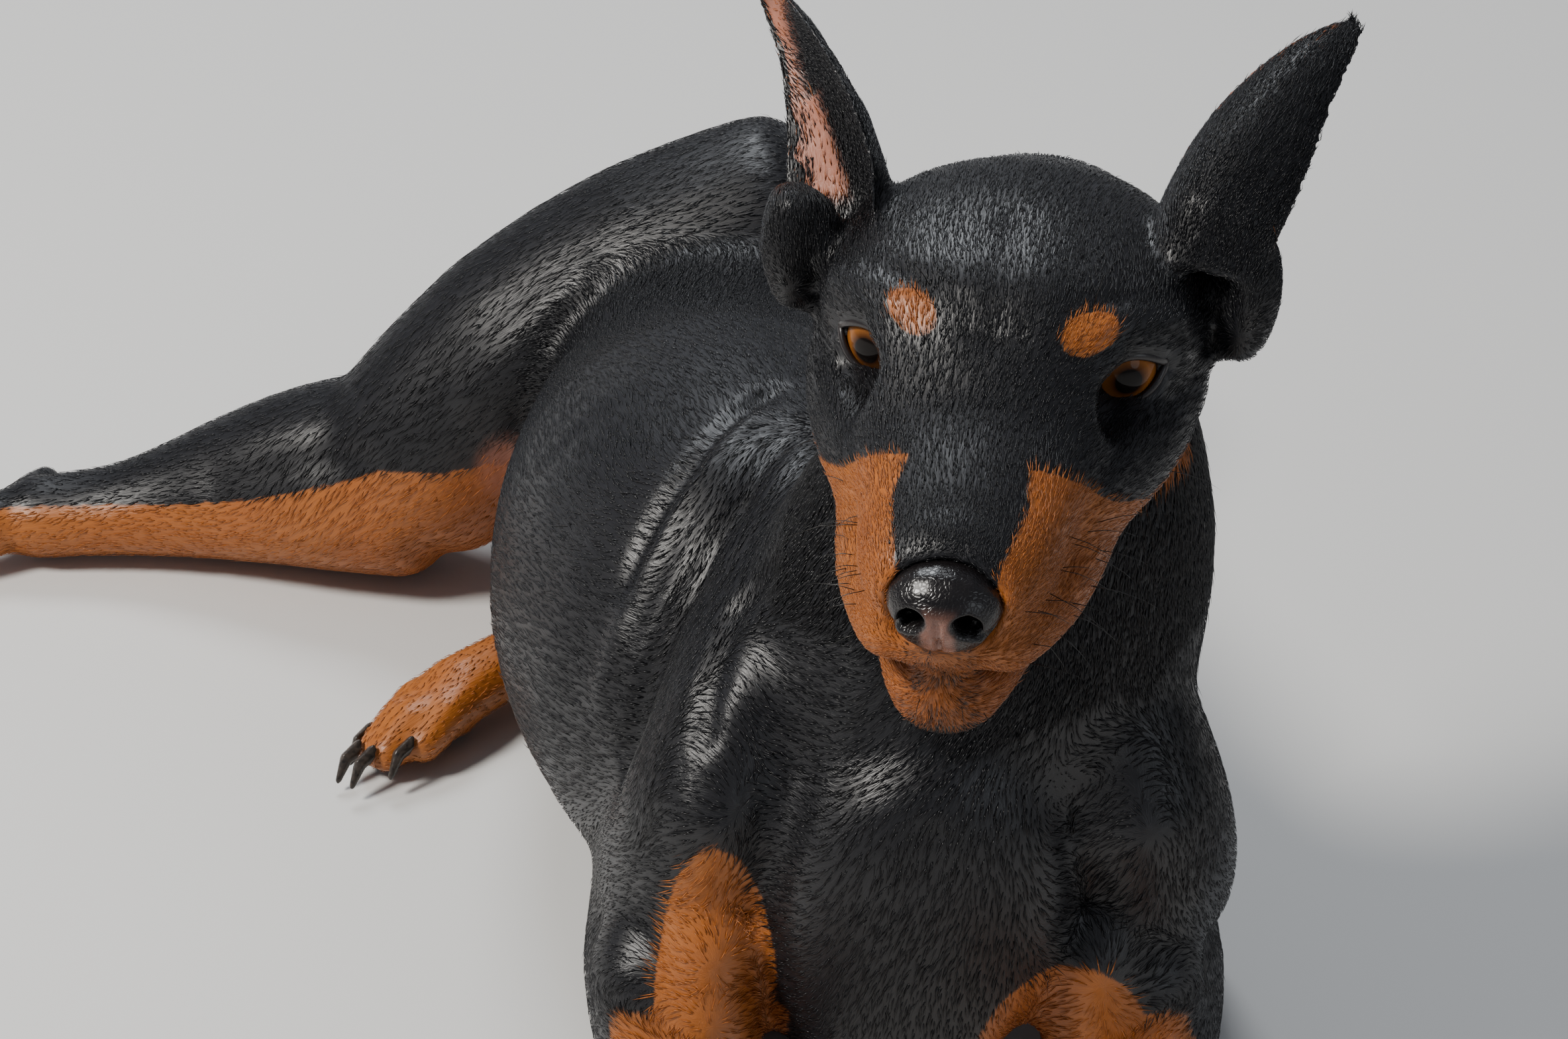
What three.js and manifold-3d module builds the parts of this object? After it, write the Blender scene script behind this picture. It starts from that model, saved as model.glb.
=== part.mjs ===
// A miniature pinscher lying on the floor with its head raised, at life size.
// Millimetres, +Z up, the floor at z = 0 and the origin on the floor under the front of the chest.
// The dog faces -Y, and its left side is towards +X.
import * as THREE from 'three';
import { mergeVertices } from 'three/addons/utils/BufferGeometryUtils.js';
import { LoftGeometry } from 'three/addons/geometries/LoftGeometry.js';
import Module from 'manifold-3d';

const wasm = await Module();
wasm.setup();

// Driving sizes of the breed, in millimetres
const CHEST_HALF_WIDTH = 51;
const CHEST_HALF_DEPTH = 62;
const NECK_RADIUS = 40;
const SKULL_HALF_WIDTH = 40;
const MUZZLE_HALF_WIDTH = 21;
const MUZZLE_LENGTH = 66;
const EYE_RADIUS = 9.8;
const EYE_SPREAD = 22;
const LID_THICKNESS = 1.7;
const EAR_LENGTH = 66;
const EAR_HALF_WIDTH = 16;
const FOREPAW_LENGTH = 64;
const HIND_FOOT_LENGTH = 92;
const PAW_HALF_WIDTH = 13.5;
const CLAW_LENGTH = 9;
const TAIL_LENGTH = 30;
const GAP = 0.3;

// Where the head is carried: the middle between the eyes, and the turn of the head in degrees
const HEAD_PLACE = [18, -14, 184];
const HEAD_TURN = { yaw: -11.5, nod: 7, roll: 1.5 };

const COAT_BLACK = { color: 0x17171b, roughness: 0.42, metalness: 0 };
const COAT_TAN = { color: 0xa3531c, roughness: 0.55, metalness: 0 };
const NOSE_BLACK = { color: 0x1c1717, roughness: 0.3, metalness: 0 };
const CLAW_HORN = { color: 0x26211e, roughness: 0.35, metalness: 0 };
const EYE_BROWN = { color: 0x4a2408, roughness: 0.08, metalness: 0 };

const radians = THREE.MathUtils.degToRad;
const vector = ([x, y, z]) => new THREE.Vector3(x, y, z);
const mirrored = ([x, y, z], hand) => [x * hand, y, z];

// A station of a limb or trunk: its middle, half width, half height up and down, the lean of its section in
// degrees, and how far its lower half narrows.
const station = (at, wide, up, down = up, lean = 0, pinch = 0) => ({
  at: vector(at), wide, up, down, lean, pinch,
});

// A closed three.js geometry as a solid. Vertices are merged, and faces that have no area are left out.
function solid(geometry) {
  const bare = new THREE.BufferGeometry().setAttribute('position', geometry.getAttribute('position'));
  if (geometry.index) bare.setIndex(geometry.index);
  const merged = mergeVertices(bare, 1e-4);
  const corners = [];
  for (let i = 0; i < merged.index.count; i += 3) {
    const face = [0, 1, 2].map((k) => merged.index.getX(i + k));
    if (new Set(face).size === 3) corners.push(...face);
  }
  return new wasm.Manifold(new wasm.Mesh({
    numProp: 3,
    vertProperties: merged.attributes.position.array,
    triVerts: new Uint32Array(corners),
  }));
}

// The rounded end of a loft as [share of the section, share of the end's length] pairs, from the tip inwards.
const roundEnd = (angles) => angles.map((angle) => [Math.sin(radians(angle)), Math.cos(radians(angle))]);
const ROUND_END = roundEnd([14, 42, 68]);
const SMALL_END = roundEnd([26, 60]);

// One smooth tapered body through a list of stations. side is the direction of each section's width, around is
// the number of points in a section, step the number of sections between stations, ends the lengths of the two
// rounded ends, and grow thickens it on every side.
function limb(stations, { side = [1, 0, 0], around = 16, step = 2, ends = [8, 8], grow = 0 } = {}) {
  const tip = around > 12 ? ROUND_END : SMALL_END;
  const spine = new THREE.CatmullRomCurve3(stations.map((s) => s.at), false, 'centripetal');
  const girth = new THREE.CatmullRomCurve3(stations.map((s) => new THREE.Vector3(s.wide, s.up, s.down)));
  const set = new THREE.CatmullRomCurve3(stations.map((s) => new THREE.Vector3(s.lean, s.pinch, 0)));
  const sense = new THREE.Vector3().crossVectors(spine.getTangent(0.5), vector(side)).z < 0 ? -1 : 1;
  const section = (t, share = 1, push = 0) => {
    const tangent = spine.getTangent(t);
    const middle = spine.getPoint(t).addScaledVector(tangent, push);
    const [wide, up, down] = girth.getPoint(t).toArray().map((r) => (r + grow) * share);
    const { x: lean, y: pinch } = set.getPoint(t);
    const across = vector(side).multiplyScalar(sense).projectOnPlane(tangent).normalize()
      .applyAxisAngle(tangent, radians(lean));
    const rise = new THREE.Vector3().crossVectors(tangent, across);
    return Array.from({ length: around }, (_, i) => {
      const angle = (2 * Math.PI * i) / around;
      const height = Math.sin(angle);
      const narrow = 1 - pinch * Math.max(0, -height);
      return middle.clone()
        .addScaledVector(across, wide * narrow * Math.cos(angle))
        .addScaledVector(rise, (height > 0 ? up : down) * height);
    });
  };
  const count = (stations.length - 1) * step;
  const sections = [
    ...tip.map(([share, back]) => section(0, share, -(ends[0] + grow) * back)),
    ...Array.from({ length: count + 1 }, (_, i) => section(i / count)),
    ...[...tip].reverse().map(([share, on]) => section(1, share, (ends[1] + grow) * on)),
  ];
  return solid(new LoftGeometry(sections, { capStart: true, capEnd: true }));
}

// A ball stretched to three radii
function pod(at, radii, { grow = 0, detail = 14 } = {}) {
  const [x, y, z] = radii.map((r) => r + grow);
  return solid(new THREE.SphereGeometry(1, detail, Math.round(detail * 0.6)).scale(x, y, z).translate(...at));
}

// Half of space beyond a plane, as a large box
function beyond(point, direction) {
  const size = 1200;
  const box = new THREE.BoxGeometry(size, size, size).translate(0, 0, size / 2);
  const turn = new THREE.Quaternion().setFromUnitVectors(new THREE.Vector3(0, 0, 1), vector(direction).normalize());
  return solid(box.applyQuaternion(turn).translate(...point));
}

const ABOVE_FLOOR = beyond([0, 0, 0], [0, 0, 1]);
const joined = (solids) => solids.reduce((all, one) => all.add(one));
const largest = (whole) => whole.decompose().reduce((a, b) => (b.volume() > a.volume() ? b : a));
const moved = (made, matrix) => made.transform(matrix.elements);

// The part of a solid between two planes, each kept back by half of the gap
function between(whole, from, to) {
  let kept = whole;
  for (const [plane, sense] of [[from, 1], [to, -1]]) {
    if (!plane) continue;
    const direction = vector(plane.direction).normalize().multiplyScalar(sense);
    const point = vector(plane.point).addScaledVector(direction, GAP / 2);
    kept = kept.intersect(beyond(point.toArray(), direction.toArray()));
  }
  return largest(kept);
}

// A named mesh of a solid, in the frame of the group that it is put in
function put(group, name, made, finish) {
  const frame = group.matrixWorld.clone().invert();
  const { vertProperties, triVerts } = moved(largest(made), frame).getMesh();
  const geometry = new THREE.BufferGeometry()
    .setAttribute('position', new THREE.BufferAttribute(new Float32Array(vertProperties), 3))
    .setIndex(new THREE.BufferAttribute(new Uint32Array(triVerts), 1));
  geometry.computeVertexNormals();
  const mesh = new THREE.Mesh(geometry, new THREE.MeshStandardMaterial(finish));
  mesh.name = name;
  group.add(mesh);
}

// A group placed inside another one, with its world matrix worked out
function frameAt(parent, at, { yaw = 0, nod = 0, roll = 0 } = {}) {
  const group = new THREE.Group();
  group.position.set(...at);
  group.rotation.set(radians(nod), radians(roll), radians(yaw), 'ZXY');
  parent.add(group);
  parent.updateMatrixWorld(true);
  return group;
}

const dog = new THREE.Group();

// Trunk: chest, belly and rump along one curved spine that leans over onto the left hip
const W = CHEST_HALF_WIDTH;
const D = CHEST_HALF_DEPTH;
const TRUNK = [
  station([6, -28, 61], 0.6 * W, 0.62 * D, 0.8 * D, 5, 0.1),
  station([4, -6, 61], 0.84 * W, 0.9 * D, 1.02 * D, 7, 0.1),
  station([-6, 28, 63], W, 1.08 * D, 1.06 * D, 10, 0.1),
  station([-29, 66, 64], 1.1 * W, 1.04 * D, 1.03 * D, 16, 0.04),
  station([-40, 104, 63], 1.08 * W, D, 0.98 * D, 22),
  station([-45, 142, 61], 0.95 * W, 0.9 * D, 0.86 * D, 30),
  station([-44, 180, 61], 0.82 * W, 0.82 * D, 0.76 * D, 40),
  station([-40, 216, 64], 0.76 * W, 0.8 * D, 0.74 * D, 46),
  station([-38, 250, 58], 0.62 * W, 0.66 * D, 0.62 * D, 50),
];
const trunk = (grow) => limb(TRUNK, { around: 24, ends: [12, 16], grow });
const FLANK = { point: [-45, 118, 60], direction: [-0.12, 1, 0] };
const LOIN = { point: [-42, 186, 60], direction: [0.28, 1, 0] };

// Neck: from between the shoulders up to the back of the skull
const R = NECK_RADIUS;
const NECK = [
  station([8, 14, 84], 1.24 * R, 1.1 * R),
  station([18, 15, 110], 1.24 * R, R),
  station([25, 18, 138], 1.08 * R, 0.85 * R),
  station([27, 26, 162], 0.84 * R, 0.74 * R),
  station([29, 36, 182], 0.68 * R, 0.6 * R),
];
const neck = (grow) => limb(NECK, { around: 18, ends: [10, 10], grow });

// Front legs: the shoulder blade down to the point of the shoulder, back to the elbow, then forward on the floor
const FRONT = {
  right: {
    hand: -1,
    shoulder: [
      station([-20, 36, 118], 19, 9),
      station([-32, 14, 98], 24, 14),
      station([-38, -4, 76], 25, 20),
      station([-44, 4, 54], 23, 21),
      station([-51, 22, 34], 19, 17),
      station([-55, 38, 19], 14, 14),
    ],
    forearm: [
      station([-55, 40, 14.5], 14, 15),
      station([-56, 14, 15.5], 14.5, 16),
      station([-54, -16, 14], 12, 13),
      station([-51, -46, 12], 9.5, 10.5),
      station([-49, -72, 12], 10, 10),
    ],
    wrist: [-49, -76, 12],
    yaw: -2,
  },
  left: {
    hand: 1,
    shoulder: [
      station([36, 38, 120], 19, 9),
      station([46, 14, 98], 24, 15),
      station([51, -4, 74], 25, 21),
      station([55, 4, 52], 23, 21),
      station([58, 22, 33], 19, 17),
      station([60, 38, 19], 14, 14),
    ],
    forearm: [
      station([60, 40, 14.5], 14, 15),
      station([62, 14, 15.5], 14.5, 16),
      station([60, -16, 14], 12, 13),
      station([57, -46, 12], 9.5, 10.5),
      station([54, -72, 12], 10, 10),
    ],
    wrist: [54, -76, 12],
    yaw: 4,
  },
};

// Hind legs: the right one is stretched out sideways, the left one is folded under the belly
const HIND = {
  right: {
    hand: -1,
    side: [0, 1, 0],
    thigh: [
      station([-20, 222, 96], 34, 32.5, 34),
      station([-56, 219, 82], 37, 33.5, 36),
      station([-92, 213, 60], 34, 34),
      station([-124, 207, 32], 28, 30),
    ],
    shank: [
      station([-122, 208, 26], 29, 33, 25),
      station([-148, 213, 23], 28, 30, 22),
      station([-178, 216, 17.5], 21, 22, 16.5),
      station([-206, 215, 14], 15, 12.5),
      station([-230, 214, 12.5], 13, 11.5),
    ],
    heel: [station([-232, 217, 13], 8, 8), station([-228, 234, 13], 5.5, 6)],
    hock: [-236, 211, 12.5],
    yaw: -62,
    roll: -38,
  },
  left: {
    hand: 1,
    side: [1, 0, 0],
    thigh: [
      station([-10, 236, 33], 28, 34),
      station([8, 205, 31.5], 26, 33),
      station([20, 172, 25], 22, 27),
      station([22, 148, 20], 18, 21),
    ],
    shank: [
      station([20, 146, 16], 16, 17),
      station([-6, 152, 15], 16, 16),
      station([-32, 162, 13.5], 13, 14),
      station([-58, 174, 12], 10, 11),
    ],
    shankSide: [0, 1, 0],
    heel: [station([-62, 178, 12], 8, 8), station([-64, 194, 12], 5.5, 6)],
    hock: [-66, 172, 12.5],
    yaw: -44,
    roll: -14,
  },
};

// Toes across a paw: their place from the middle line, and how far each falls short of the longest
const TOES = [
  { name: 'outer', out: 1, short: 8 },
  { name: 'mid_outer', out: 0.36, short: 0 },
  { name: 'mid_inner', out: -0.36, short: 0.5 },
  { name: 'inner', out: -1, short: 9 },
];
const PAW_BOTTOM = -12;

// A foot in its own frame: the joint above it at the origin, the toes towards -Y. It has knuckles, a broad pad
// under the middle and a small pad under each toe.
function foot(length, hand, grow = 0) {
  const knuckle = -(length - 33);
  const cannon = limb([
    station([0, 6, 0], 9.5, 9.5),
    station([0, knuckle * 0.5, -0.5], 9, 8.5),
    station([0, knuckle, -1], 11.5, 9.5),
    station([0, knuckle - 13, -4], 11, 7.5),
  ], { around: 10, step: 1, ends: [6, 5], grow });
  const pieces = [cannon, pod([0, knuckle - 4, PAW_BOTTOM + 5], [8.5, 8, 5.5], { grow, detail: 8 })];
  for (const { out, short } of TOES) {
    const tip = -(length - short);
    const x = out * hand * (PAW_HALF_WIDTH - 5.2);
    pieces.push(limb([
      station([x * 0.7, tip + 27, -2], 4.8, 5.6),
      station([x * 0.95, tip + 16, -1.5], 5.3, 6.6),
      station([x * 1.02, tip + 6, -6], 5, 5.6),
    ], { around: 7, step: 1, ends: [4, 5.5], grow }));
  }
  return joined(pieces);
}

// One claw: a curved horn that leaves the toe just above its pad and points at the floor
function claw(length, hand, { out, short }) {
  const tip = -(length - short);
  const x = out * hand * (PAW_HALF_WIDTH - 5.2) * 1.04;
  const reach = CLAW_LENGTH;
  return limb([
    station([x, tip + 2.5, -3.4], 2, 2.4),
    station([x, tip - 0.3 * reach, -4.6], 1.7, 2),
    station([x, tip - 0.62 * reach, -8], 1, 1.2),
  ], { around: 5, step: 1, ends: [1, 2.4] });
}

// Places a foot and its claws in a group of their own. taken is what the foot must stay clear of.
function addFoot(name, at, turn, length, hand, taken, finish) {
  const group = frameAt(dog, at, turn);
  const clear = moved(foot(length, hand), group.matrixWorld).intersect(ABOVE_FLOOR).subtract(taken);
  const grown = moved(foot(length, hand, GAP), group.matrixWorld);
  put(group, `${name}_paw`, clear, finish);
  for (const toe of TOES) {
    const horn = moved(claw(length, hand, toe), group.matrixWorld).intersect(ABOVE_FLOOR);
    put(group, `${name}_claw_${toe.name}`, horn.subtract(grown), CLAW_HORN);
  }
}

// Head, in its own frame: the middle between the eyes at the origin, the nose towards -Y, up along +Z
const S = SKULL_HALF_WIDTH;
const M = MUZZLE_HALF_WIDTH;
const SKULL = [
  station([0, 62, -2], 0.52 * S, 11, 15),
  station([0, 48, -1], 0.82 * S, 18, 24),
  station([0, 31, 0], 0.98 * S, 21.5, 29),
  station([0, 15, 0], 0.98 * S, 22.5, 29),
  station([0, 2, -2], 0.84 * S, 23, 24),
  station([0, -8, -4], 0.72 * S, 18.5, 22),
  station([0, -0.33 * MUZZLE_LENGTH, -7], 1.2 * M, 15, 19.5),
  station([0, -0.58 * MUZZLE_LENGTH, -8.5], M, 13.5, 19),
  station([0, -0.79 * MUZZLE_LENGTH, -10.5], 0.9 * M, 12.5, 17.5),
  station([0, -0.91 * MUZZLE_LENGTH, -12.5], 0.72 * M, 9.5, 14.5),
];
const JAW = [
  station([0, 36, -23], 1.1 * M, 10, 9),
  station([0, 12, -28], 1.16 * M, 11, 11),
  station([0, -14, -32], M, 10, 10),
  station([0, -34, -34.5], 0.84 * M, 8, 8.5),
  station([0, -0.82 * MUZZLE_LENGTH, -35.5], 0.66 * M, 7, 8),
];
const NOSE = [
  station([0, -0.84 * MUZZLE_LENGTH, -9], 9, 6, 8.5),
  station([0, -0.94 * MUZZLE_LENGTH, -10.5], 11.2, 8.2, 10.5),
  station([0, -1.01 * MUZZLE_LENGTH, -12.5], 9, 6.4, 8.5),
];
const EYE_TURN = 24;
const eyeCentre = (hand) => [EYE_SPREAD * hand, 7.5, 0];
const eyeball = (hand, grow = 0) => pod(eyeCentre(hand), Array(3).fill(EYE_RADIUS), { grow, detail: 14 });
const nose = (grow = 0) => limb(NOSE, { around: 18, ends: [2, 3.4], grow });

// The almond between the lids: a lens pushed through along the line of sight
function lidOpening(hand) {
  const lens = new THREE.Shape();
  const half = 8.4;
  lens.moveTo(-half, -0.8);
  lens.quadraticCurveTo(-1, 10.5, half, 1.2);
  lens.quadraticCurveTo(0.5, -9.5, -half, -0.8);
  const bar = new THREE.ExtrudeGeometry(lens, { depth: 30, bevelEnabled: false, curveSegments: 7 });
  bar.scale(hand, 1, 1).rotateX(Math.PI / 2).rotateZ(radians(EYE_TURN * hand));
  const made = solid(bar);
  const cut = made.volume() > 0 ? made : solid(flipped(bar));
  return cut.translate(eyeCentre(hand));
}

function flipped(geometry) {
  const flat = geometry.index ? geometry.toNonIndexed() : geometry.clone();
  const place = flat.attributes.position;
  for (let i = 0; i < place.count; i += 3) {
    const [a, b] = [new THREE.Vector3().fromBufferAttribute(place, i), new THREE.Vector3().fromBufferAttribute(place, i + 1)];
    place.setXYZ(i, b.x, b.y, b.z);
    place.setXYZ(i + 1, a.x, a.y, a.z);
  }
  return flat;
}

// The skull and upper muzzle, with brows, cheeks, lips and lids, open at the eyes and clear of the nose
function upperHead(grow = 0) {
  let made = limb(SKULL, { around: 24, ends: [10, 4], grow });
  for (const hand of [-1, 1]) {
    made = made.subtract(pod([33 * hand, -10, 1], [13.5, 11, 9], { grow: -grow, detail: 14 }));
    made = made.add(pod(eyeCentre(hand), Array(3).fill(EYE_RADIUS + LID_THICKNESS), { grow, detail: 13 }));
    made = made.add(limb([
      station([10 * hand, -7, 8.5], 3.5, 3.5),
      station([20 * hand, -1.5, 12.5], 4.5, 4.5),
      station([31 * hand, 8, 9.5], 4, 4),
    ], { side: [0, 1, 0], around: 8, grow }));
    made = made.add(limb([
      station([19.5 * hand, -30, -14], 5, 8),
      station([26.5 * hand, -14, -14], 6.5, 10),
      station([32.5 * hand, 4, -12], 6.5, 9),
      station([35 * hand, 22, -9], 5, 7),
    ], { side: [0, 1, 0], around: 8, grow }));
    made = made.add(limb([
      station([12.5 * hand, -0.87 * MUZZLE_LENGTH, -22], 5.5, 7),
      station([19 * hand, -0.64 * MUZZLE_LENGTH, -23], 5.5, 7.5),
      station([23 * hand, -0.3 * MUZZLE_LENGTH, -22], 5.5, 7),
      station([26 * hand, 0, -20], 5, 5),
    ], { side: [1, 0, 0], around: 8, grow }));
  }
  return made;
}

function head() {
  let made = upperHead().subtract(nose(GAP));
  for (const hand of [-1, 1]) made = made.subtract(eyeball(hand, GAP)).subtract(lidOpening(hand));
  return made;
}

// The nose leather with two comma-shaped nostrils and the groove between them
function noseLeather() {
  let made = nose();
  const front = -1.06 * MUZZLE_LENGTH;
  for (const hand of [-1, 1]) {
    made = made.subtract(limb([
      station([4.9 * hand, front - 3, -10.6], 2.6, 2.4),
      station([5.2 * hand, front + 5, -9.4], 1.6, 1.5),
    ], { around: 8, ends: [1, 1.5] }));
    made = made.subtract(limb([
      station([6 * hand, front - 0.5, -12.4], 1.3, 1.3),
      station([12 * hand, front + 5, -13.6], 1, 1),
    ], { side: [0, 1, 0], around: 6, step: 1, ends: [1, 1] }));
  }
  const groove = new THREE.BoxGeometry(0.9, 6, 9).translate(0, front, -18);
  return made.subtract(solid(groove));
}

// One cropped ear: a shell with a hollow front, from the side of the skull to a blunt tip.
// open turns the hollow about the ear's own length, in degrees at the root and at the tip.
const EAR_SHAPE = [
  { share: -0.12, wide: 0.8, hollow: 13, thick: 4 },
  { share: 0.08, wide: 1, hollow: 14.5, thick: 3.4 },
  { share: 0.28, wide: 0.95, hollow: 11.5, thick: 2.6 },
  { share: 0.46, wide: 0.82, hollow: 8.4, thick: 2.2 },
  { share: 0.63, wide: 0.64, hollow: 6.8, thick: 1.9 },
  { share: 0.8, wide: 0.46, hollow: 4.2, thick: 1.7 },
  { share: 0.93, wide: 0.28, hollow: 2.1, thick: 1.5 },
  { share: 1, wide: 0.12, hollow: 0.9, thick: 1.2 },
];
const EAR_POINTS = 7;

function ear(hand, { root, tip, bend, open }) {
  const from = vector(mirrored(root, hand));
  const to = vector(mirrored(tip, hand));
  const belly = from.clone().lerp(to, 0.5).add(vector(mirrored(bend, hand)));
  const spine = new THREE.QuadraticBezierCurve3(from, belly, to);
  const outwards = vector(mirrored([0.8, -0.5, -0.2], hand));
  const ring = ({ share, wide, hollow, thick }) => {
    const t = Math.max(0, share);
    const along = spine.getTangent(t);
    const middle = spine.getPoint(t).addScaledVector(along, Math.min(0, share) * EAR_LENGTH);
    const turn = radians(open[0] + (open[1] - open[0]) * t) * hand;
    const facing = outwards.clone().projectOnPlane(along).normalize().applyAxisAngle(along, turn);
    const across = new THREE.Vector3().crossVectors(facing, along);
    const half = wide * EAR_HALF_WIDTH;
    const outer = [];
    const inner = [];
    for (let i = 0; i < EAR_POINTS; i++) {
      const s = (2 * i) / (EAR_POINTS - 1) - 1;
      const arch = 1 - s * s;
      outer.push(middle.clone().addScaledVector(across, half * s).addScaledVector(facing, -hollow * arch));
      inner.push(middle.clone().addScaledVector(across, half * 0.97 * s)
        .addScaledVector(facing, 0.9 + (thick - hollow - 0.9) * arch));
    }
    return [...outer, ...inner.reverse()];
  };
  const shell = solid(new LoftGeometry(EAR_SHAPE.map(ring), { capStart: true, capEnd: true }));
  const lobe = limb([
    station(mirrored([46, 28, 15], hand), 6, 7),
    station(mirrored([47, 25, 5], hand), 6.5, 8),
    station(mirrored([45.5, 25, -5], hand), 5.5, 6.5),
  ], { around: 8, ends: [3, 5] });
  return shell.add(lobe);
}

const EARS = {
  right: { hand: -1, root: [40, 31, 12], tip: [66, 76, 38], bend: [-6, -2, 8], open: [-34, -4] },
  left: { hand: 1, root: [38.5, 31, 13], tip: [61, 74, 42], bend: [-6, -2, 8], open: [70, 86] },
};

// Build order: each piece is cut clear of those before it, so that it meets them face to face
const headFrame = frameAt(dog, HEAD_PLACE, HEAD_TURN);
const inHead = (made) => moved(made, headFrame.matrixWorld);
const headGrown = inHead(upperHead(GAP));
const jawGrown = inHead(limb(JAW, { around: 16, ends: [8, 5], grow: GAP }));
const trunkGrown = trunk(GAP);
const neckGrown = neck(GAP);

const wholeTrunk = trunk(0).intersect(ABOVE_FLOOR);
put(dog, 'chest', between(wholeTrunk, null, FLANK), COAT_BLACK);
put(dog, 'belly', between(wholeTrunk, FLANK, LOIN), COAT_BLACK);
put(dog, 'rump', between(wholeTrunk, LOIN, null), COAT_BLACK);
put(dog, 'neck', neck(0).subtract(trunkGrown).subtract(headGrown).subtract(jawGrown), COAT_BLACK);

put(headFrame, 'head', inHead(head()), COAT_BLACK);
const jaw = inHead(limb(JAW, { around: 16, ends: [8, 5] }));
put(headFrame, 'lower_jaw', jaw.subtract(headGrown), COAT_TAN);
put(headFrame, 'nose', inHead(noseLeather()), NOSE_BLACK);
for (const [name, { hand, ...shape }] of Object.entries(EARS)) {
  put(headFrame, `${name}_ear`, inHead(ear(hand, shape)).subtract(headGrown).subtract(neckGrown), COAT_BLACK);
  put(headFrame, `${name}_eye`, inHead(eyeball(hand)), EYE_BROWN);
}

for (const [name, leg] of Object.entries(FRONT)) {
  const taken = trunkGrown.add(neckGrown);
  const upper = limb(leg.shoulder, { side: [0, 1, 0], around: 12, ends: [8, 9] });
  const upperGrown = limb(leg.shoulder, { side: [0, 1, 0], around: 12, ends: [8, 9], grow: GAP });
  const lower = limb(leg.forearm, { around: 12, ends: [10, 6] });
  const lowerGrown = limb(leg.forearm, { around: 12, ends: [10, 6], grow: GAP });
  put(dog, `${name}_upper_arm`, upper.subtract(taken).intersect(ABOVE_FLOOR), COAT_BLACK);
  put(dog, `${name}_forearm`, lower.subtract(taken).subtract(upperGrown).intersect(ABOVE_FLOOR), COAT_TAN);
  addFoot(`${name}_front`, leg.wrist, { yaw: leg.yaw }, FOREPAW_LENGTH, leg.hand, lowerGrown, COAT_TAN);
}

for (const [name, leg] of Object.entries(HIND)) {
  const thighLook = { side: leg.side, around: 18, ends: [14, 12] };
  const shankLook = { side: leg.shankSide ?? leg.side, around: 12, ends: [8, 6] };
  const heelLook = { side: [1, 0, 0], around: 8, step: 1, ends: [4, 5] };
  const thigh = limb(leg.thigh, thighLook);
  const thighGrown = limb(leg.thigh, { ...thighLook, grow: GAP });
  const shank = limb(leg.shank, shankLook).add(limb(leg.heel, heelLook));
  const shankGrown = limb(leg.shank, { ...shankLook, grow: GAP }).add(limb(leg.heel, { ...heelLook, grow: GAP }));
  put(dog, `${name}_thigh`, thigh.subtract(trunkGrown).intersect(ABOVE_FLOOR), COAT_BLACK);
  put(dog, `${name}_shank`, shank.subtract(trunkGrown).subtract(thighGrown).intersect(ABOVE_FLOOR), COAT_TAN);
  const taken = shankGrown.add(trunkGrown);
  addFoot(`${name}_hind`, leg.hock, { yaw: leg.yaw, roll: leg.roll }, HIND_FOOT_LENGTH, leg.hand, taken, COAT_TAN);
}

// The tail is a short docked stub
const tail = limb([
  station([-22, 258, 66], 11, 11),
  station([-12, 272, 66], 9.5, 9.5),
  station([-3, 272 + 0.6 * TAIL_LENGTH, 64], 8, 8),
], { around: 12, ends: [4, 8] });
const rightHip = limb(HIND.right.thigh, { side: HIND.right.side, around: 18, ends: [14, 12], grow: GAP });
put(dog, 'tail', tail.subtract(trunkGrown).subtract(rightHip), COAT_BLACK);

export default dog;
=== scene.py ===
"""A life-size miniature pinscher lying on a pale studio floor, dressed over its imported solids."""

import logging
import math
from dataclasses import dataclass, field
from enum import Enum

import bpy
import numpy as np
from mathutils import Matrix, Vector
from mathutils.kdtree import KDTree


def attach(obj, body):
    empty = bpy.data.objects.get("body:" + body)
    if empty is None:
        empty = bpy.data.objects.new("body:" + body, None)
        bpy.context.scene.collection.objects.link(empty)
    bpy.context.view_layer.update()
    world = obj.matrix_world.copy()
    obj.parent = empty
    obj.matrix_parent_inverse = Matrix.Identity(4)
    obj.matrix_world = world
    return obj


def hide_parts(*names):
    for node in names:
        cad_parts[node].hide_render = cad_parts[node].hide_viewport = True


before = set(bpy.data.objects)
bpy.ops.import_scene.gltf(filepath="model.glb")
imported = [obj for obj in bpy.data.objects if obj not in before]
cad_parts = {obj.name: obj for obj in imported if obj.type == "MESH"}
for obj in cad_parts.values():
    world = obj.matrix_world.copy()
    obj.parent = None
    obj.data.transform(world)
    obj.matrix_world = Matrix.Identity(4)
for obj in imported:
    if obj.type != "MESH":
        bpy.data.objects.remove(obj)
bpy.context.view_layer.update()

LOG = logging.getLogger("miniature_pinscher")
MM = 0.001

Colour = tuple[float, float, float]
Point = tuple[float, float, float]


class Side(Enum):
    """The dog's own right and left, as a sign along X."""

    RIGHT = -1
    LEFT = 1

    @property
    def word(self) -> str:
        """The side's name as the frame's nodes spell it."""
        return self.name.lower()


# ---- Measures of the dog, repeated from the solids, in millimetres ----


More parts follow.
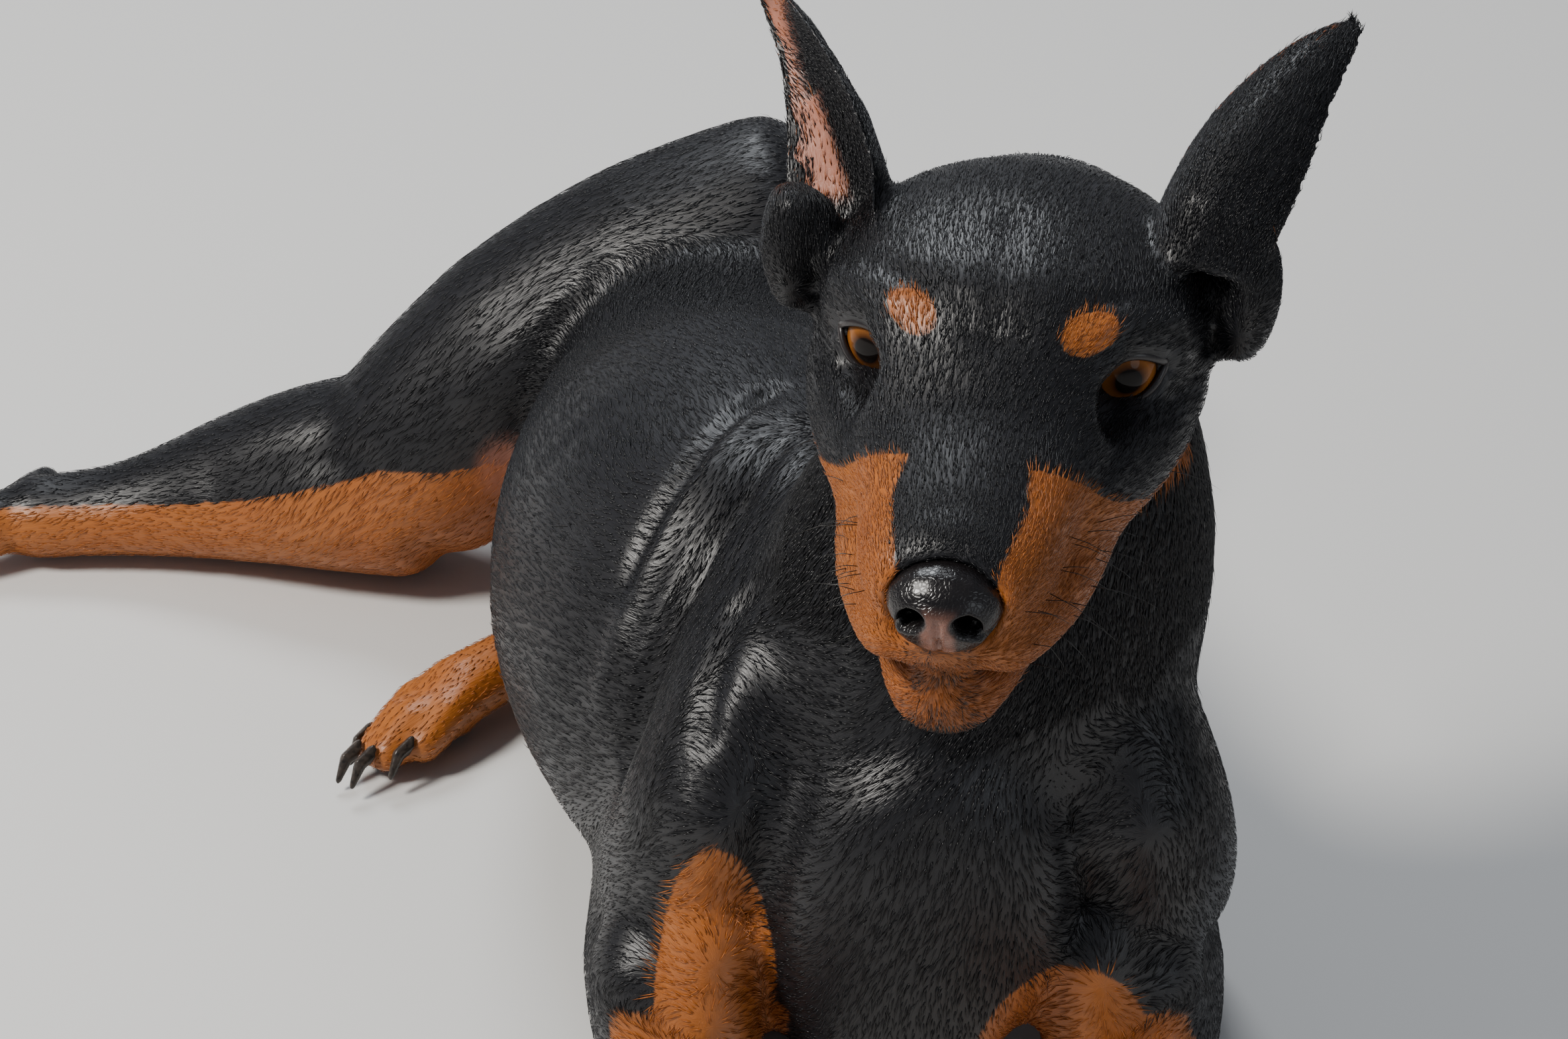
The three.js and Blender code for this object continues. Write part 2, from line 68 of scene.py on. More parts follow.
@dataclass(frozen=True)
class HeadPose:
    """Where the head is carried. Its own origin is the middle between the eyes and its nose points to -Y."""

    place: Point = (18.0, -14.0, 184.0)
    yaw: float = -11.5
    nod: float = 7.0
    roll: float = 1.5

    def turn(self) -> np.ndarray:
        """The head's rotation matrix.

        Returns:
            Three rows and columns, which turn the head's own frame to the row frame.
        """
        yaw, nod, roll = (math.radians(a) for a in (self.yaw, self.nod, self.roll))
        about_z = np.array([[math.cos(yaw), -math.sin(yaw), 0], [math.sin(yaw), math.cos(yaw), 0], [0, 0, 1]])
        about_x = np.array([[1, 0, 0], [0, math.cos(nod), -math.sin(nod)], [0, math.sin(nod), math.cos(nod)]])
        about_y = np.array([[math.cos(roll), 0, math.sin(roll)], [0, 1, 0], [-math.sin(roll), 0, math.cos(roll)]])
        return about_z @ about_x @ about_y

    def to_row(self, points: np.ndarray) -> np.ndarray:
        """Points of the head's own frame in the row frame."""
        return np.asarray(points, float) @ self.turn().T + np.array(self.place)

    def to_head(self, points: np.ndarray) -> np.ndarray:
        """Points of the row frame in the head's own frame."""
        return (np.asarray(points, float) - np.array(self.place)) @ self.turn()

    def row_direction(self, direction: Point) -> np.ndarray:
        """A direction of the head's own frame in the row frame."""
        return self.turn() @ np.array(direction, float)


HEAD = HeadPose()


@dataclass(frozen=True)
class Bone:
    """A stretch of the body: the line through its middle, its radius, and how its coat grows.

    The coat lies along the line from its first point to its last. hair is its length, dense the share of the
    usual number of tufts, and rise how far it stands off the skin in degrees.
    """

    name: str
    line: tuple[Point, ...]
    radius: float
    hair: float
    dense: float = 1.0
    rise: float = 9.0

    def points(self) -> np.ndarray:
        """The line's points in the row frame."""
        return np.array(self.line, float)


@dataclass(frozen=True)
class HeadBone(Bone):
    """A stretch of the head, given in the head's own frame."""

    def points(self) -> np.ndarray:
        """The line's points in the row frame."""
        return HEAD.to_row(np.array(self.line, float))


BONES: tuple[Bone, ...] = (
    HeadBone("muzzle", ((0, -64, -12), (0, -20, -8)), 18, 2.2, 1.0, 8),
    HeadBone("skull", ((0, -20, -4), (0, 10, -4), (0, 52, 0)), 30, 3.4, 1.0, 9),
    HeadBone("jaw", ((0, -58, -31), (0, -20, -30), (0, 30, -26)), 12, 3.2, 0.8, 12),
    HeadBone("lips", ((0, -68, -18), (0, -64, -34), (0, -56, -46)), 4, 2.4, 1.0, 12),
    HeadBone("right_cheek", ((-14, -14, -14), (-30, 16, -12), (-34, 44, -14)), 8, 3.2, 0.9, 9),
    HeadBone("left_cheek", ((14, -14, -14), (30, 16, -12), (34, 44, -14)), 8, 3.2, 0.9, 9),
    HeadBone("right_ear", ((-40, 31, 12), (-47, 51, 31), (-66, 76, 38)), 9, 3.2, 1.0, 9),
    HeadBone("left_ear", ((38.5, 31, 13), (47, 51, 31), (61, 74, 42)), 9, 3.2, 1.0, 9),
    Bone("nape", ((30, 48, 190), (26, 40, 150), (0, 50, 128)), 14, 4.6, 1.0, 7),
    Bone("throat", ((24, 0, 150), (18, -14, 118), (8, -30, 84), (4, -34, 50)), 20, 5.0, 1.0, 9),
    Bone("neck", ((28, 30, 178), (21, 14, 130), (10, 14, 96)), 34, 4.8, 1.0, 7),
    Bone("chest", ((4, -24, 66), (-6, 28, 63), (-29, 66, 64), (-40, 104, 63)), 52, 5.0, 1.0, 6),
    Bone("belly", ((-40, 104, 63), (-45, 142, 61), (-44, 180, 61)), 46, 4.8, 1.0, 6),
    Bone("rump", ((-44, 180, 61), (-40, 216, 64), (-38, 256, 58)), 38, 4.8, 1.0, 6),
    Bone("tail", ((-30, 250, 62), (-12, 272, 66), (0, 296, 64)), 10, 6.0, 0.9, 12),
    Bone("right_upper_arm", ((-20, 36, 118), (-38, -4, 76), (-55, 38, 19)), 19, 4.4, 1.0, 6),
    Bone("left_upper_arm", ((36, 38, 120), (51, -4, 74), (60, 38, 19)), 19, 4.4, 1.0, 6),
    Bone("right_forearm", ((-55, 44, 15), (-56, 14, 15), (-51, -46, 12), (-49, -76, 12)), 12, 3.6, 1.0, 6),
    Bone("left_forearm", ((60, 44, 15), (62, 14, 15), (57, -46, 12), (54, -76, 12)), 12, 3.6, 1.0, 6),
    Bone("right_front_paw", ((-49, -76, 12), (-51, -140, 6)), 12, 2.8, 0.8, 9),
    Bone("left_front_paw", ((54, -76, 12), (58, -140, 6)), 12, 2.8, 0.8, 9),
    Bone("right_thigh", ((-20, 222, 96), (-56, 219, 82), (-92, 213, 60), (-124, 207, 32)), 33, 4.8, 1.0, 6),
    Bone("right_shank", ((-122, 208, 26), (-178, 216, 17), (-236, 212, 12)), 17, 4.0, 1.0, 6),
    Bone("right_hind_paw", ((-236, 211, 12), (-318, 167, 8)), 12, 3.0, 0.8, 9),
    Bone("left_thigh", ((-10, 236, 33), (20, 172, 25), (22, 148, 20)), 27, 4.6, 1.0, 6),
    Bone("left_shank", ((20, 146, 16), (-32, 162, 13), (-66, 174, 12)), 14, 4.0, 1.0, 6),
    Bone("left_hind_paw", ((-66, 172, 12), (-132, 108, 9)), 12, 3.0, 0.8, 9),
)

PAWS = ("right_front_paw", "left_front_paw", "right_hind_paw", "left_hind_paw")
SEPARATE_NODES = ("nose", "right_eye", "left_eye")
# the eyeballs: their radius, how far out and back their centres lie, and how far they turn outwards in degrees
EYE_RADIUS = 9.8
EYE_SPREAD = 22.0
EYE_BACK = 7.5
EYE_TURN = 24.0


# ---- Arithmetic on meshes ----


def unit(vectors: np.ndarray) -> np.ndarray:
    """Vectors scaled to length one."""
    return vectors / np.maximum(np.linalg.norm(vectors, axis=-1, keepdims=True), 1e-12)


def smooth_step(value: np.ndarray, low: float, high: float) -> np.ndarray:
    """A ramp from 0 at low to 1 at high with soft ends; low may be the larger of the two."""
    t = np.clip((value - low) / (high - low), 0.0, 1.0)
    return t * t * (3.0 - 2.0 * t)


def line_distance(points: np.ndarray, line: np.ndarray) -> tuple[np.ndarray, np.ndarray, np.ndarray]:
    """How far points lie from a line of straight stretches.

    Args:
        points: the places asked about, one in each row.
        line: the line's corners, in order.

    Returns:
        The distance of each point, the direction of the line nearest to it, and its share of the line's length.
    """
    best = np.full(len(points), np.inf)
    direction = np.zeros_like(points)
    share = np.zeros(len(points))
    lengths = np.linalg.norm(np.diff(line, axis=0), axis=1)
    start = np.concatenate([[0.0], np.cumsum(lengths)]) / lengths.sum()
    for i, (a, b) in enumerate(zip(line[:-1], line[1:])):
        ab = b - a
        t = np.clip((points - a) @ ab / (ab @ ab), 0.0, 1.0)
        distance = np.linalg.norm(points - a - t[:, None] * ab, axis=1)
        near = distance < best
        best = np.where(near, distance, best)
        direction[near] = ab / np.linalg.norm(ab)
        share = np.where(near, start[i] + t * (start[i + 1] - start[i]), share)
    return best, direction, share


@dataclass
class Surface:
    """A mesh held as arrays, in millimetres of the row frame."""

    points: np.ndarray
    faces: np.ndarray

    @staticmethod
    def of(mesh: bpy.types.Mesh) -> "Surface":
        """Reads a Blender mesh, with its faces cut to triangles.

        Args:
            mesh: the mesh, in metres.

        Returns:
            Its surface, in millimetres.
        """
        points = np.empty(len(mesh.vertices) * 3)
        mesh.vertices.foreach_get("co", points)
        mesh.calc_loop_triangles()
        faces = np.empty(len(mesh.loop_triangles) * 3, dtype=np.int64)
        mesh.loop_triangles.foreach_get("vertices", faces)
        return Surface(points.reshape(-1, 3) / MM, faces.reshape(-1, 3))

    def normals(self) -> np.ndarray:
        """The direction that each point of the surface faces.

        Returns:
            A vector of length one for each point.
        """
        a, b, c = (self.points[self.faces[:, i]] for i in range(3))
        across = np.cross(b - a, c - a)
        count = len(self.points)
        total = np.stack(
            [
                sum(np.bincount(self.faces[:, i], weights=across[:, k], minlength=count) for i in range(3))
                for k in range(3)
            ],
            axis=1,
        )
        return unit(total)

    def edges(self) -> np.ndarray:
        """Each pair of points that an edge joins, both ways round.

        Returns:
            Two point numbers in each row.
        """
        pairs = np.concatenate([self.faces[:, [0, 1]], self.faces[:, [1, 2]], self.faces[:, [2, 0]]])
        pairs = np.unique(np.sort(pairs, axis=1), axis=0)
        return np.concatenate([pairs, pairs[:, ::-1]])

    def smoothed(self, share: np.ndarray, rounds: int) -> "Surface":
        """The surface relaxed towards the mean of its neighbours.

        Args:
            share: how far each point goes in one round, from 0 to 1.
            rounds: the number of rounds.

        Returns:
            A new surface with the same faces.
        """
        pairs = self.edges()
        count = np.bincount(pairs[:, 0], minlength=len(self.points))[:, None]
        points = self.points.copy()
        for _ in range(rounds):
            total = np.stack(
                [np.bincount(pairs[:, 0], weights=points[pairs[:, 1], k], minlength=len(points)) for k in range(3)],
                axis=1,
            )
            points += share[:, None] * (total / np.maximum(count, 1) - points)
        return Surface(points, self.faces)

    def largest(self) -> "Surface":
        """Only the largest connected piece of the surface.

        Returns:
            A new surface, with its points numbered afresh.
        """
        label = np.arange(len(self.points))
        pairs = self.edges()
        while True:
            lowest = label.copy()
            np.minimum.at(lowest, pairs[:, 0], label[pairs[:, 1]])
            lowest = lowest[lowest]
            if np.array_equal(lowest, label):
                break
            label = lowest
        main = np.bincount(label).argmax()
        kept = label == main
        renumber = np.cumsum(kept) - 1
        faces = self.faces[kept[self.faces[:, 0]]]
        return Surface(self.points[kept], renumber[faces])

    def to_object(self, name: str) -> bpy.types.Object:
        """A smooth-shaded Blender object of this surface.

        Args:
            name: the object's name.

        Returns:
            The object, linked to the scene.
        """
        mesh = bpy.data.meshes.new(name)
        mesh.vertices.add(len(self.points))
        mesh.vertices.foreach_set("co", (self.points * MM).ravel())
        mesh.loops.add(self.faces.size)
        mesh.loops.foreach_set("vertex_index", self.faces.ravel())
        mesh.polygons.add(len(self.faces))
        mesh.polygons.foreach_set("loop_start", np.arange(0, self.faces.size, 3))
        mesh.update(calc_edges=True)
        mesh.polygons.foreach_set("use_smooth", np.ones(len(self.faces), dtype=bool))
        made = bpy.data.objects.new(name, mesh)
        bpy.context.scene.collection.objects.link(made)
        return made


def joined(surfaces: list[Surface]) -> Surface:
    """Several surfaces as one, without joining their points.

    Args:
        surfaces: the surfaces to put together.

    Returns:
        One surface with all their points and faces.
    """
    counts = np.cumsum([0] + [len(s.points) for s in surfaces])
    return Surface(
        np.concatenate([s.points for s in surfaces]),
        np.concatenate([s.faces + start for s, start in zip(surfaces, counts)]),
    )


def fused(surface: Surface, pitch: float) -> Surface:
    """The surface rebuilt as one even closed skin over all that it holds.

    Args:
        surface: closed shells, which may cross one another.
        pitch: the size of the new faces, in millimetres.

    Returns:
        The new surface, its largest piece only.
    """
    draft = surface.to_object("draft")
    remesh = draft.modifiers.new("fuse", "REMESH")
    remesh.mode = "VOXEL"
    remesh.voxel_size = pitch * MM
    remesh.adaptivity = 0.0
    seen = draft.evaluated_get(bpy.context.evaluated_depsgraph_get())
    made = Surface.of(seen.to_mesh())
    seen.to_mesh_clear()
    mesh = draft.data
    bpy.data.objects.remove(draft)
    bpy.data.meshes.remove(mesh)
    return made.largest()


def node_surface(name: str, swell: float = 0.0) -> Surface:
    """A node of the frame as a surface, swollen on every side by some millimetres.

    Args:
        name: the node's name.
        swell: how far its points move outwards.

    Returns:
        The surface, with doubled points merged.
    """
    made = Surface.of(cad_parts[name].data)
    made.points = np.round(made.points, 4)
    shared, index = np.unique(made.points, axis=0, return_inverse=True)
    made = Surface(shared, index.reshape(-1)[made.faces])
    if swell:
        made.points = made.points + swell * made.normals()
    return made


def put_values(piece: bpy.types.Object, name: str, values: np.ndarray) -> None:
    """Stores one value or vector for each point of a piece, for its material to read.

    Args:
        piece: the object that holds the values.
        name: the name that the material asks for.
        values: one number or one vector for each point.
    """
    kind, key = ("FLOAT", "value") if values.ndim == 1 else ("FLOAT_VECTOR", "vector")
    layer = piece.data.attributes.new(name, kind, "POINT")
    layer.data.foreach_set(key, np.ascontiguousarray(values, dtype=np.float32).ravel())


# ---- Shader building ----


@dataclass
class Board:
    """A node tree that is being wired up."""

    tree: bpy.types.NodeTree

    def add(self, kind: str, settings: dict | None = None, **inputs: object) -> bpy.types.Node:
        """Adds a node.

        Args:
            kind: the node's type.
            settings: its own properties.
            inputs: values or output sockets for its inputs, with _ for a space in the socket's name, or i0, i1
                and so on for a socket by number.

        Returns:
            The new node.
        """
        made = self.tree.nodes.new(kind)
        for key, value in (settings or {}).items():
            setattr(made, key, value)
        for key, value in inputs.items():
            numbered = key[0] == "i" and key[1:].isdigit()
            socket = made.inputs[int(key[1:])] if numbered else made.inputs[key.replace("_", " ")]
            if isinstance(value, bpy.types.NodeSocket):
                self.tree.links.new(value, socket)
            else:
                socket.default_value = value
        return made

    def math(self, operation: str, *values: object) -> bpy.types.NodeSocket:
        """The result of one sum on numbers or sockets."""
        made = self.add("ShaderNodeMath", {"operation": operation}, **{f"i{i}": v for i, v in enumerate(values)})
        return made.outputs[0]

    def vector(self, operation: str, *values: object) -> bpy.types.Node:
        """A node for one sum on vectors."""
        inputs = {f"i{i}": v for i, v in enumerate(values)}
        return self.add("ShaderNodeVectorMath", {"operation": operation}, **inputs)

    def scaled(self, vector: object, factor: object) -> bpy.types.NodeSocket:
        """A vector made longer or shorter."""
        return self.add("ShaderNodeVectorMath", {"operation": "SCALE"}, i0=vector, Scale=factor).outputs[0]

    def mix(self, share: object, first: object, second: object) -> bpy.types.NodeSocket:
        """A blend of two colours.

        Args:
            share: how much of the second shows, as a number or a socket.
            first: the colour at 0.
            second: the colour at 1.

        Returns:
            The blended colour.
        """
        made = self.add("ShaderNodeMix", {"data_type": "RGBA"})
        for socket, value in ((made.inputs[0], share), (made.inputs[6], first), (made.inputs[7], second)):
            if isinstance(value, bpy.types.NodeSocket):
                self.tree.links.new(value, socket)
            else:
                socket.default_value = value if isinstance(value, (int, float)) else (*value, 1.0)
        return made.outputs[2]

    def ramp(self, value: bpy.types.NodeSocket, stops: tuple[tuple[float, Colour], ...]) -> bpy.types.NodeSocket:
        """A run of colours over a value.

        Args:
            value: the value that picks the colour.
            stops: each place on the run and its colour, in order.

        Returns:
            The colour.
        """
        made = self.add("ShaderNodeValToRGB", Fac=value)
        band = made.color_ramp
        while len(band.elements) < len(stops):
            band.elements.new(0.5)
        for element, (place, colour) in zip(band.elements, stops):
            element.position = place
            element.color = (*colour, 1.0)
        return made.outputs[0]

    def attribute(self, name: str, output: str = "Fac") -> bpy.types.NodeSocket:
        """A value that the mesh holds for each of its points."""
        return self.add("ShaderNodeAttribute", {"attribute_name": name}).outputs[output]


def group_of(name: str, inputs: dict[str, tuple[str, object]], outputs: dict[str, str]) -> Board:
    """Starts a shader node group.

    Args:
        name: the group's name.
        inputs: each input's socket type and usual value.
        outputs: each output's socket type.

    Returns:
        A board for the group's tree, with its input and output nodes added.
    """
    tree = bpy.data.node_groups.new(name, "ShaderNodeTree")
    for label, (kind, value) in inputs.items():
        socket = tree.interface.new_socket(label, in_out="INPUT", socket_type=kind)
        if value is not None:
            socket.default_value = value
    for label, kind in outputs.items():
        tree.interface.new_socket(label, in_out="OUTPUT", socket_type=kind)
    board = Board(tree)
    board.add("NodeGroupInput")
    board.add("NodeGroupOutput")
    return board


FLOAT = "NodeSocketFloat"
COLOUR = "NodeSocketColor"
VECTOR = "NodeSocketVector"


def grain_group() -> bpy.types.NodeTree:
    """Fine strands that run along the lie of the coat, as a height and a mask for lighter strands.

    Returns:
        The group's tree.
    """
    board = group_of(
        "hair_grain",
        {"Lie": (VECTOR, None), "Clump": (FLOAT, 160.0), "Strand": (FLOAT, 3000.0), "Stretch": (FLOAT, 0.06)},
        {"Height": FLOAT, "Streak": FLOAT},
    )
    source = board.tree.nodes["Group Input"].outputs
    place = board.add("ShaderNodeTexCoord").outputs["Object"]
    cell = board.add("ShaderNodeTexVoronoi", {"feature": "F1"}, Vector=place, Scale=source["Clump"])
    offset = board.vector("SUBTRACT", place, cell.outputs["Position"]).outputs[0]
    along = board.vector("DOT_PRODUCT", offset, source["Lie"]).outputs["Value"]
    back = board.scaled(source["Lie"], along)
    squeeze = board.math("SUBTRACT", 1.0, source["Stretch"])
    reduced = board.scaled(back, squeeze)
    straight = board.vector("SUBTRACT", offset, reduced).outputs[0]
    scaled = board.scaled(straight, source["Strand"])
    apart = board.scaled(cell.outputs["Color"], 37.0)
    spot = board.vector("ADD", scaled, apart).outputs[0]
    strands = board.add("ShaderNodeTexNoise", Vector=spot, Scale=1.0, Detail=2.0, Roughness=0.6).outputs["Fac"]
    streak = board.math("SMOOTH_MAX", board.math("MULTIPLY_ADD", strands, 2.6, -0.9), 0.0, 0.1)
    out = board.tree.nodes["Group Output"]
    board.tree.links.new(strands, out.inputs["Height"])
    board.tree.links.new(streak, out.inputs["Streak"])
    return board.tree


def coat_colour_group() -> bpy.types.NodeTree:
    """The black and tan of the coat, from the markings that skin and tufts both carry.

    Returns:
        The group's tree.
    """
    board = group_of(
        "coat_colour",
        {
            "Tan": (FLOAT, 0.0),
            "Bare": (FLOAT, 0.0),
            "Leather": (FLOAT, 0.0),
            "Variation": (FLOAT, 0.5),
            "Black": (COLOUR, (0.0045, 0.0045, 0.006, 1.0)),
            "Rust": (COLOUR, (0.33, 0.085, 0.010, 1.0)),
            "Skin": (COLOUR, (0.42, 0.16, 0.10, 1.0)),
        },
        {"Color": COLOUR},
    )
    source = board.tree.nodes["Group Input"].outputs
    place = board.add("ShaderNodeTexCoord").outputs["Object"]
    wander = board.add("ShaderNodeTexNoise", Vector=place, Scale=240.0, Detail=3.0).outputs["Fac"]
    patch = board.add("ShaderNodeTexNoise", Vector=place, Scale=38.0, Detail=2.0).outputs["Fac"]
    ragged = board.math("MULTIPLY", board.math("SUBTRACT", wander, 0.5), 0.5)
    pushed = board.math("ADD", source["Tan"], ragged)
    uneven = board.math("MULTIPLY", board.math("SUBTRACT", source["Variation"], 0.5), 0.3)
    strewn = board.math("ADD", pushed, uneven)
    tan = board.add(
        "ShaderNodeMapRange", {"interpolation_type": "SMOOTHSTEP"}, Value=strewn, From_Min=0.36, From_Max=0.62
    ).outputs[0]
    light = board.mix(board.math("MULTIPLY", patch, 0.8), source["Rust"], (0.47, 0.165, 0.030))
    ticked = board.mix(board.math("MULTIPLY", source["Variation"], 0.35), light, (0.15, 0.036, 0.006))
    dark = board.mix(board.math("MULTIPLY", source["Variation"], 0.45), source["Black"], (0.012, 0.012, 0.015))
    coat = board.mix(tan, dark, ticked)
    thin = board.mix(source["Bare"], coat, source["Skin"])
    pads = board.mix(source["Leather"], thin, (0.018, 0.015, 0.015))
    board.tree.links.new(pads, board.tree.nodes["Group Output"].inputs["Color"])
    return board.tree


GRAIN = grain_group()
COAT_COLOUR = coat_colour_group()


def new_material(name: str) -> tuple[bpy.types.Material, Board, bpy.types.Node]:
    """A material with its Principled shader ready.

    Args:
        name: the material's name.

    Returns:
        The material, a board for its tree, and the Principled node.
    """
    material = bpy.data.materials.new(name)
    material.use_nodes = True
    board = Board(material.node_tree)
    return material, board, material.node_tree.nodes["Principled BSDF"]


def use_group(board: Board, group: bpy.types.NodeTree, **inputs: object) -> bpy.types.Node:
    """Places a node group in a material with its own values."""
    return board.add("ShaderNodeGroup", {"node_tree": group}, **inputs)


@dataclass(frozen=True)
class HideFinish:
    """The skin with its short flat coat drawn on it as a grain."""

    name: str = "hide"
    roughness: float = 0.42
    sheen: float = 0.02
    bump: float = 0.45
    relief: float = 0.0003

    def make(self) -> bpy.types.Material:
        """Builds the material.

        Returns:
            The finished material.
        """
        material, board, shader = new_material(self.name)
        lie = board.attribute("lie", "Vector")
        grain = use_group(board, GRAIN, Lie=lie)
        colour = use_group(
            board,
            COAT_COLOUR,
            Tan=board.attribute("tan"),
            Bare=board.attribute("bare"),
            Leather=board.attribute("leather"),
            Variation=grain.outputs["Streak"],
        )
        links = board.tree.links
        links.new(colour.outputs["Color"], shader.inputs["Base Color"])
        rough = board.math("MULTIPLY_ADD", grain.outputs["Streak"], -0.08, self.roughness)
        links.new(rough, shader.inputs["Roughness"])
        bump = board.add(
            "ShaderNodeBump", Strength=self.bump, Distance=self.relief, Height=grain.outputs["Height"]
        )
        links.new(bump.outputs[0], shader.inputs["Normal"])
        shader.inputs["Sheen Weight"].default_value = self.sheen
        shader.inputs["Sheen Roughness"].default_value = 0.4
        shader.inputs["Sheen Tint"].default_value = (0.75, 0.82, 1.0, 1.0)
        return material


@dataclass(frozen=True)
class NoseFinish:
    """Moist pebbled leather, worn to a warm brown down its middle, with painted shade inside the nostrils."""

    name: str = "nose_leather"
    roughness: float = 0.24

    def make(self) -> bpy.types.Material:
        """Builds the material.

        Returns:
            The finished material.
        """
        material, board, shader = new_material(self.name)
        links = board.tree.links
        place = board.add("ShaderNodeTexCoord").outputs["Object"]
        pebbles = board.add("ShaderNodeTexVoronoi", {"feature": "DISTANCE_TO_EDGE"}, Vector=place, Scale=1150.0)
        damp = board.add("ShaderNodeTexNoise", Vector=place, Scale=420.0, Detail=3.0).outputs["Fac"]
        worn = board.math("MULTIPLY", board.attribute("worn"), board.math("MULTIPLY_ADD", damp, 0.9, 0.45))
        dark = board.mix(damp, (0.004, 0.0035, 0.004), (0.011, 0.009, 0.0095))
        colour = board.mix(worn, dark, (0.27, 0.125, 0.09))
        # painted shade: the nostrils' pits and side slits are painted near black, darker than the leather round
        # them
        inside = board.mix(board.attribute("nostril"), colour, (0.004, 0.003, 0.003))
        links.new(inside, shader.inputs["Base Color"])
        links.new(board.math("MULTIPLY_ADD", damp, 0.16, self.roughness - 0.06), shader.inputs["Roughness"])
        height = board.math("MINIMUM", pebbles.outputs["Distance"], 0.18)
        bump = board.add("ShaderNodeBump", Strength=0.35, Distance=0.0008, Height=height)
        links.new(bump.outputs[0], shader.inputs["Normal"])
        shader.inputs["Specular IOR Level"].default_value = 0.35
        shader.inputs["Coat Weight"].default_value = 0.15
        shader.inputs["Coat Roughness"].default_value = 0.12
        return material


@dataclass(frozen=True)
class HornFinish:
    """Dark claw horn with a fine mottle of paler brown."""

    name: str = "claw_horn"

    def make(self) -> bpy.types.Material:
        """Builds the material.

        Returns:
            The finished material.
        """
        material, board, shader = new_material(self.name)
        links = board.tree.links
        place = board.add("ShaderNodeTexCoord").outputs["Object"]
        lines = board.add("ShaderNodeTexNoise", Vector=place, Scale=900.0, Detail=3.0).outputs["Fac"]
        colour = board.ramp(lines, ((0.3, (0.012, 0.010, 0.009)), (0.75, (0.06, 0.045, 0.035))))
        links.new(colour, shader.inputs["Base Color"])
        links.new(board.math("MULTIPLY_ADD", lines, 0.25, 0.2), shader.inputs["Roughness"])
        bump = board.add("ShaderNodeBump", Strength=0.15, Distance=0.0003, Height=lines)
        links.new(bump.outputs[0], shader.inputs["Normal"])
        return material


@dataclass(frozen=True)
class EyeFinish:
    """A wet eye: dark pupil, amber brown iris with radial fibres, and a brown-white rim, sized in degrees."""

    name: str = "eye"
    pupil: float = 15.0
    iris: float = 42.0

    def make(self) -> bpy.types.Material:
        """Builds the material.

        Returns:
            The finished material.
        """
        material, board, shader = new_material(self.name)
        links = board.tree.links
        angle = board.attribute("from_axis")
        turn = board.attribute("around_axis")
        spot = board.add("ShaderNodeCombineXYZ", X=board.math("MULTIPLY", turn, 9.0), Y=angle, Z=0.0).outputs[0]
        fibres = board.add("ShaderNodeTexNoise", Vector=spot, Scale=4.2, Detail=4.0, Roughness=0.7).outputs["Fac"]
        depth = board.math("DIVIDE", angle, math.radians(70.0))
        reach = self.iris / 70.0
        hole = self.pupil / 70.0
        iris = board.ramp(
            depth,
            (
                (hole, (0.0015, 0.001, 0.001)),
                (hole + 0.02, (0.045, 0.014, 0.003)),
                (0.5 * (hole + reach), (0.30, 0.105, 0.018)),
                (reach - 0.05, (0.24, 0.08, 0.013)),
                (reach, (0.012, 0.006, 0.003)),
                (reach + 0.05, (0.05, 0.03, 0.02)),
                (min(0.98, reach + 0.22), (0.36, 0.26, 0.2)),
            ),
        )
        streaked = board.mix(board.math("MULTIPLY_ADD", fibres, 1.2, -0.25), iris, (0.012, 0.004, 0.001))
        inside = board.math("LESS_THAN", depth, reach)
        colour = board.mix(board.math("MULTIPLY", inside, 0.5), iris, streaked)
        links.new(colour, shader.inputs["Base Color"])
        shader.inputs["Roughness"].default_value = 0.6
        shader.inputs["Specular IOR Level"].default_value = 0.05
        shader.inputs["Coat Weight"].default_value = 0.6
        shader.inputs["Coat Roughness"].default_value = 0.015
        shader.inputs["Coat IOR"].default_value = 1.33
        return material


@dataclass(frozen=True)
class LidFinish:
    """The dark moist rim of the eyelids."""

    name: str = "lid_rim"

    def make(self) -> bpy.types.Material:
        """Builds the material.

        Returns:
            The finished material.
        """
        material, board, shader = new_material(self.name)
        place = board.add("ShaderNodeTexCoord").outputs["Object"]
        mottle = board.add("ShaderNodeTexNoise", Vector=place, Scale=1600.0, Detail=2.0).outputs["Fac"]
        colour = board.mix(mottle, (0.006, 0.005, 0.006), (0.022, 0.016, 0.016))
        board.tree.links.new(colour, shader.inputs["Base Color"])
        board.tree.links.new(board.math("MULTIPLY_ADD", mottle, 0.2, 0.22), shader.inputs["Roughness"])
        bump = board.add("ShaderNodeBump", Strength=0.2, Distance=0.0002, Height=mottle)
        board.tree.links.new(bump.outputs[0], shader.inputs["Normal"])
        return material


# ---- The lie of the coat and its markings ----

# which way each ear's hollow faces, and how squarely the skin has to face that way to start and to be fully bare
EAR_OPENINGS: tuple[tuple[str, Point, float, float], ...] = (
    ("right_ear", (-0.88, -0.42, -0.2), -0.1, 0.25),
    ("left_ear", (0.8, 0.0, -0.6), 0.55, 0.8),
)


def ball_reach(points: np.ndarray, ball: tuple[Point, Point]) -> np.ndarray:
    """How far points lie from a ball's middle, where 1 is its edge."""
    centre, radii = ball
    return np.linalg.norm((points - centre) / radii, axis=1)


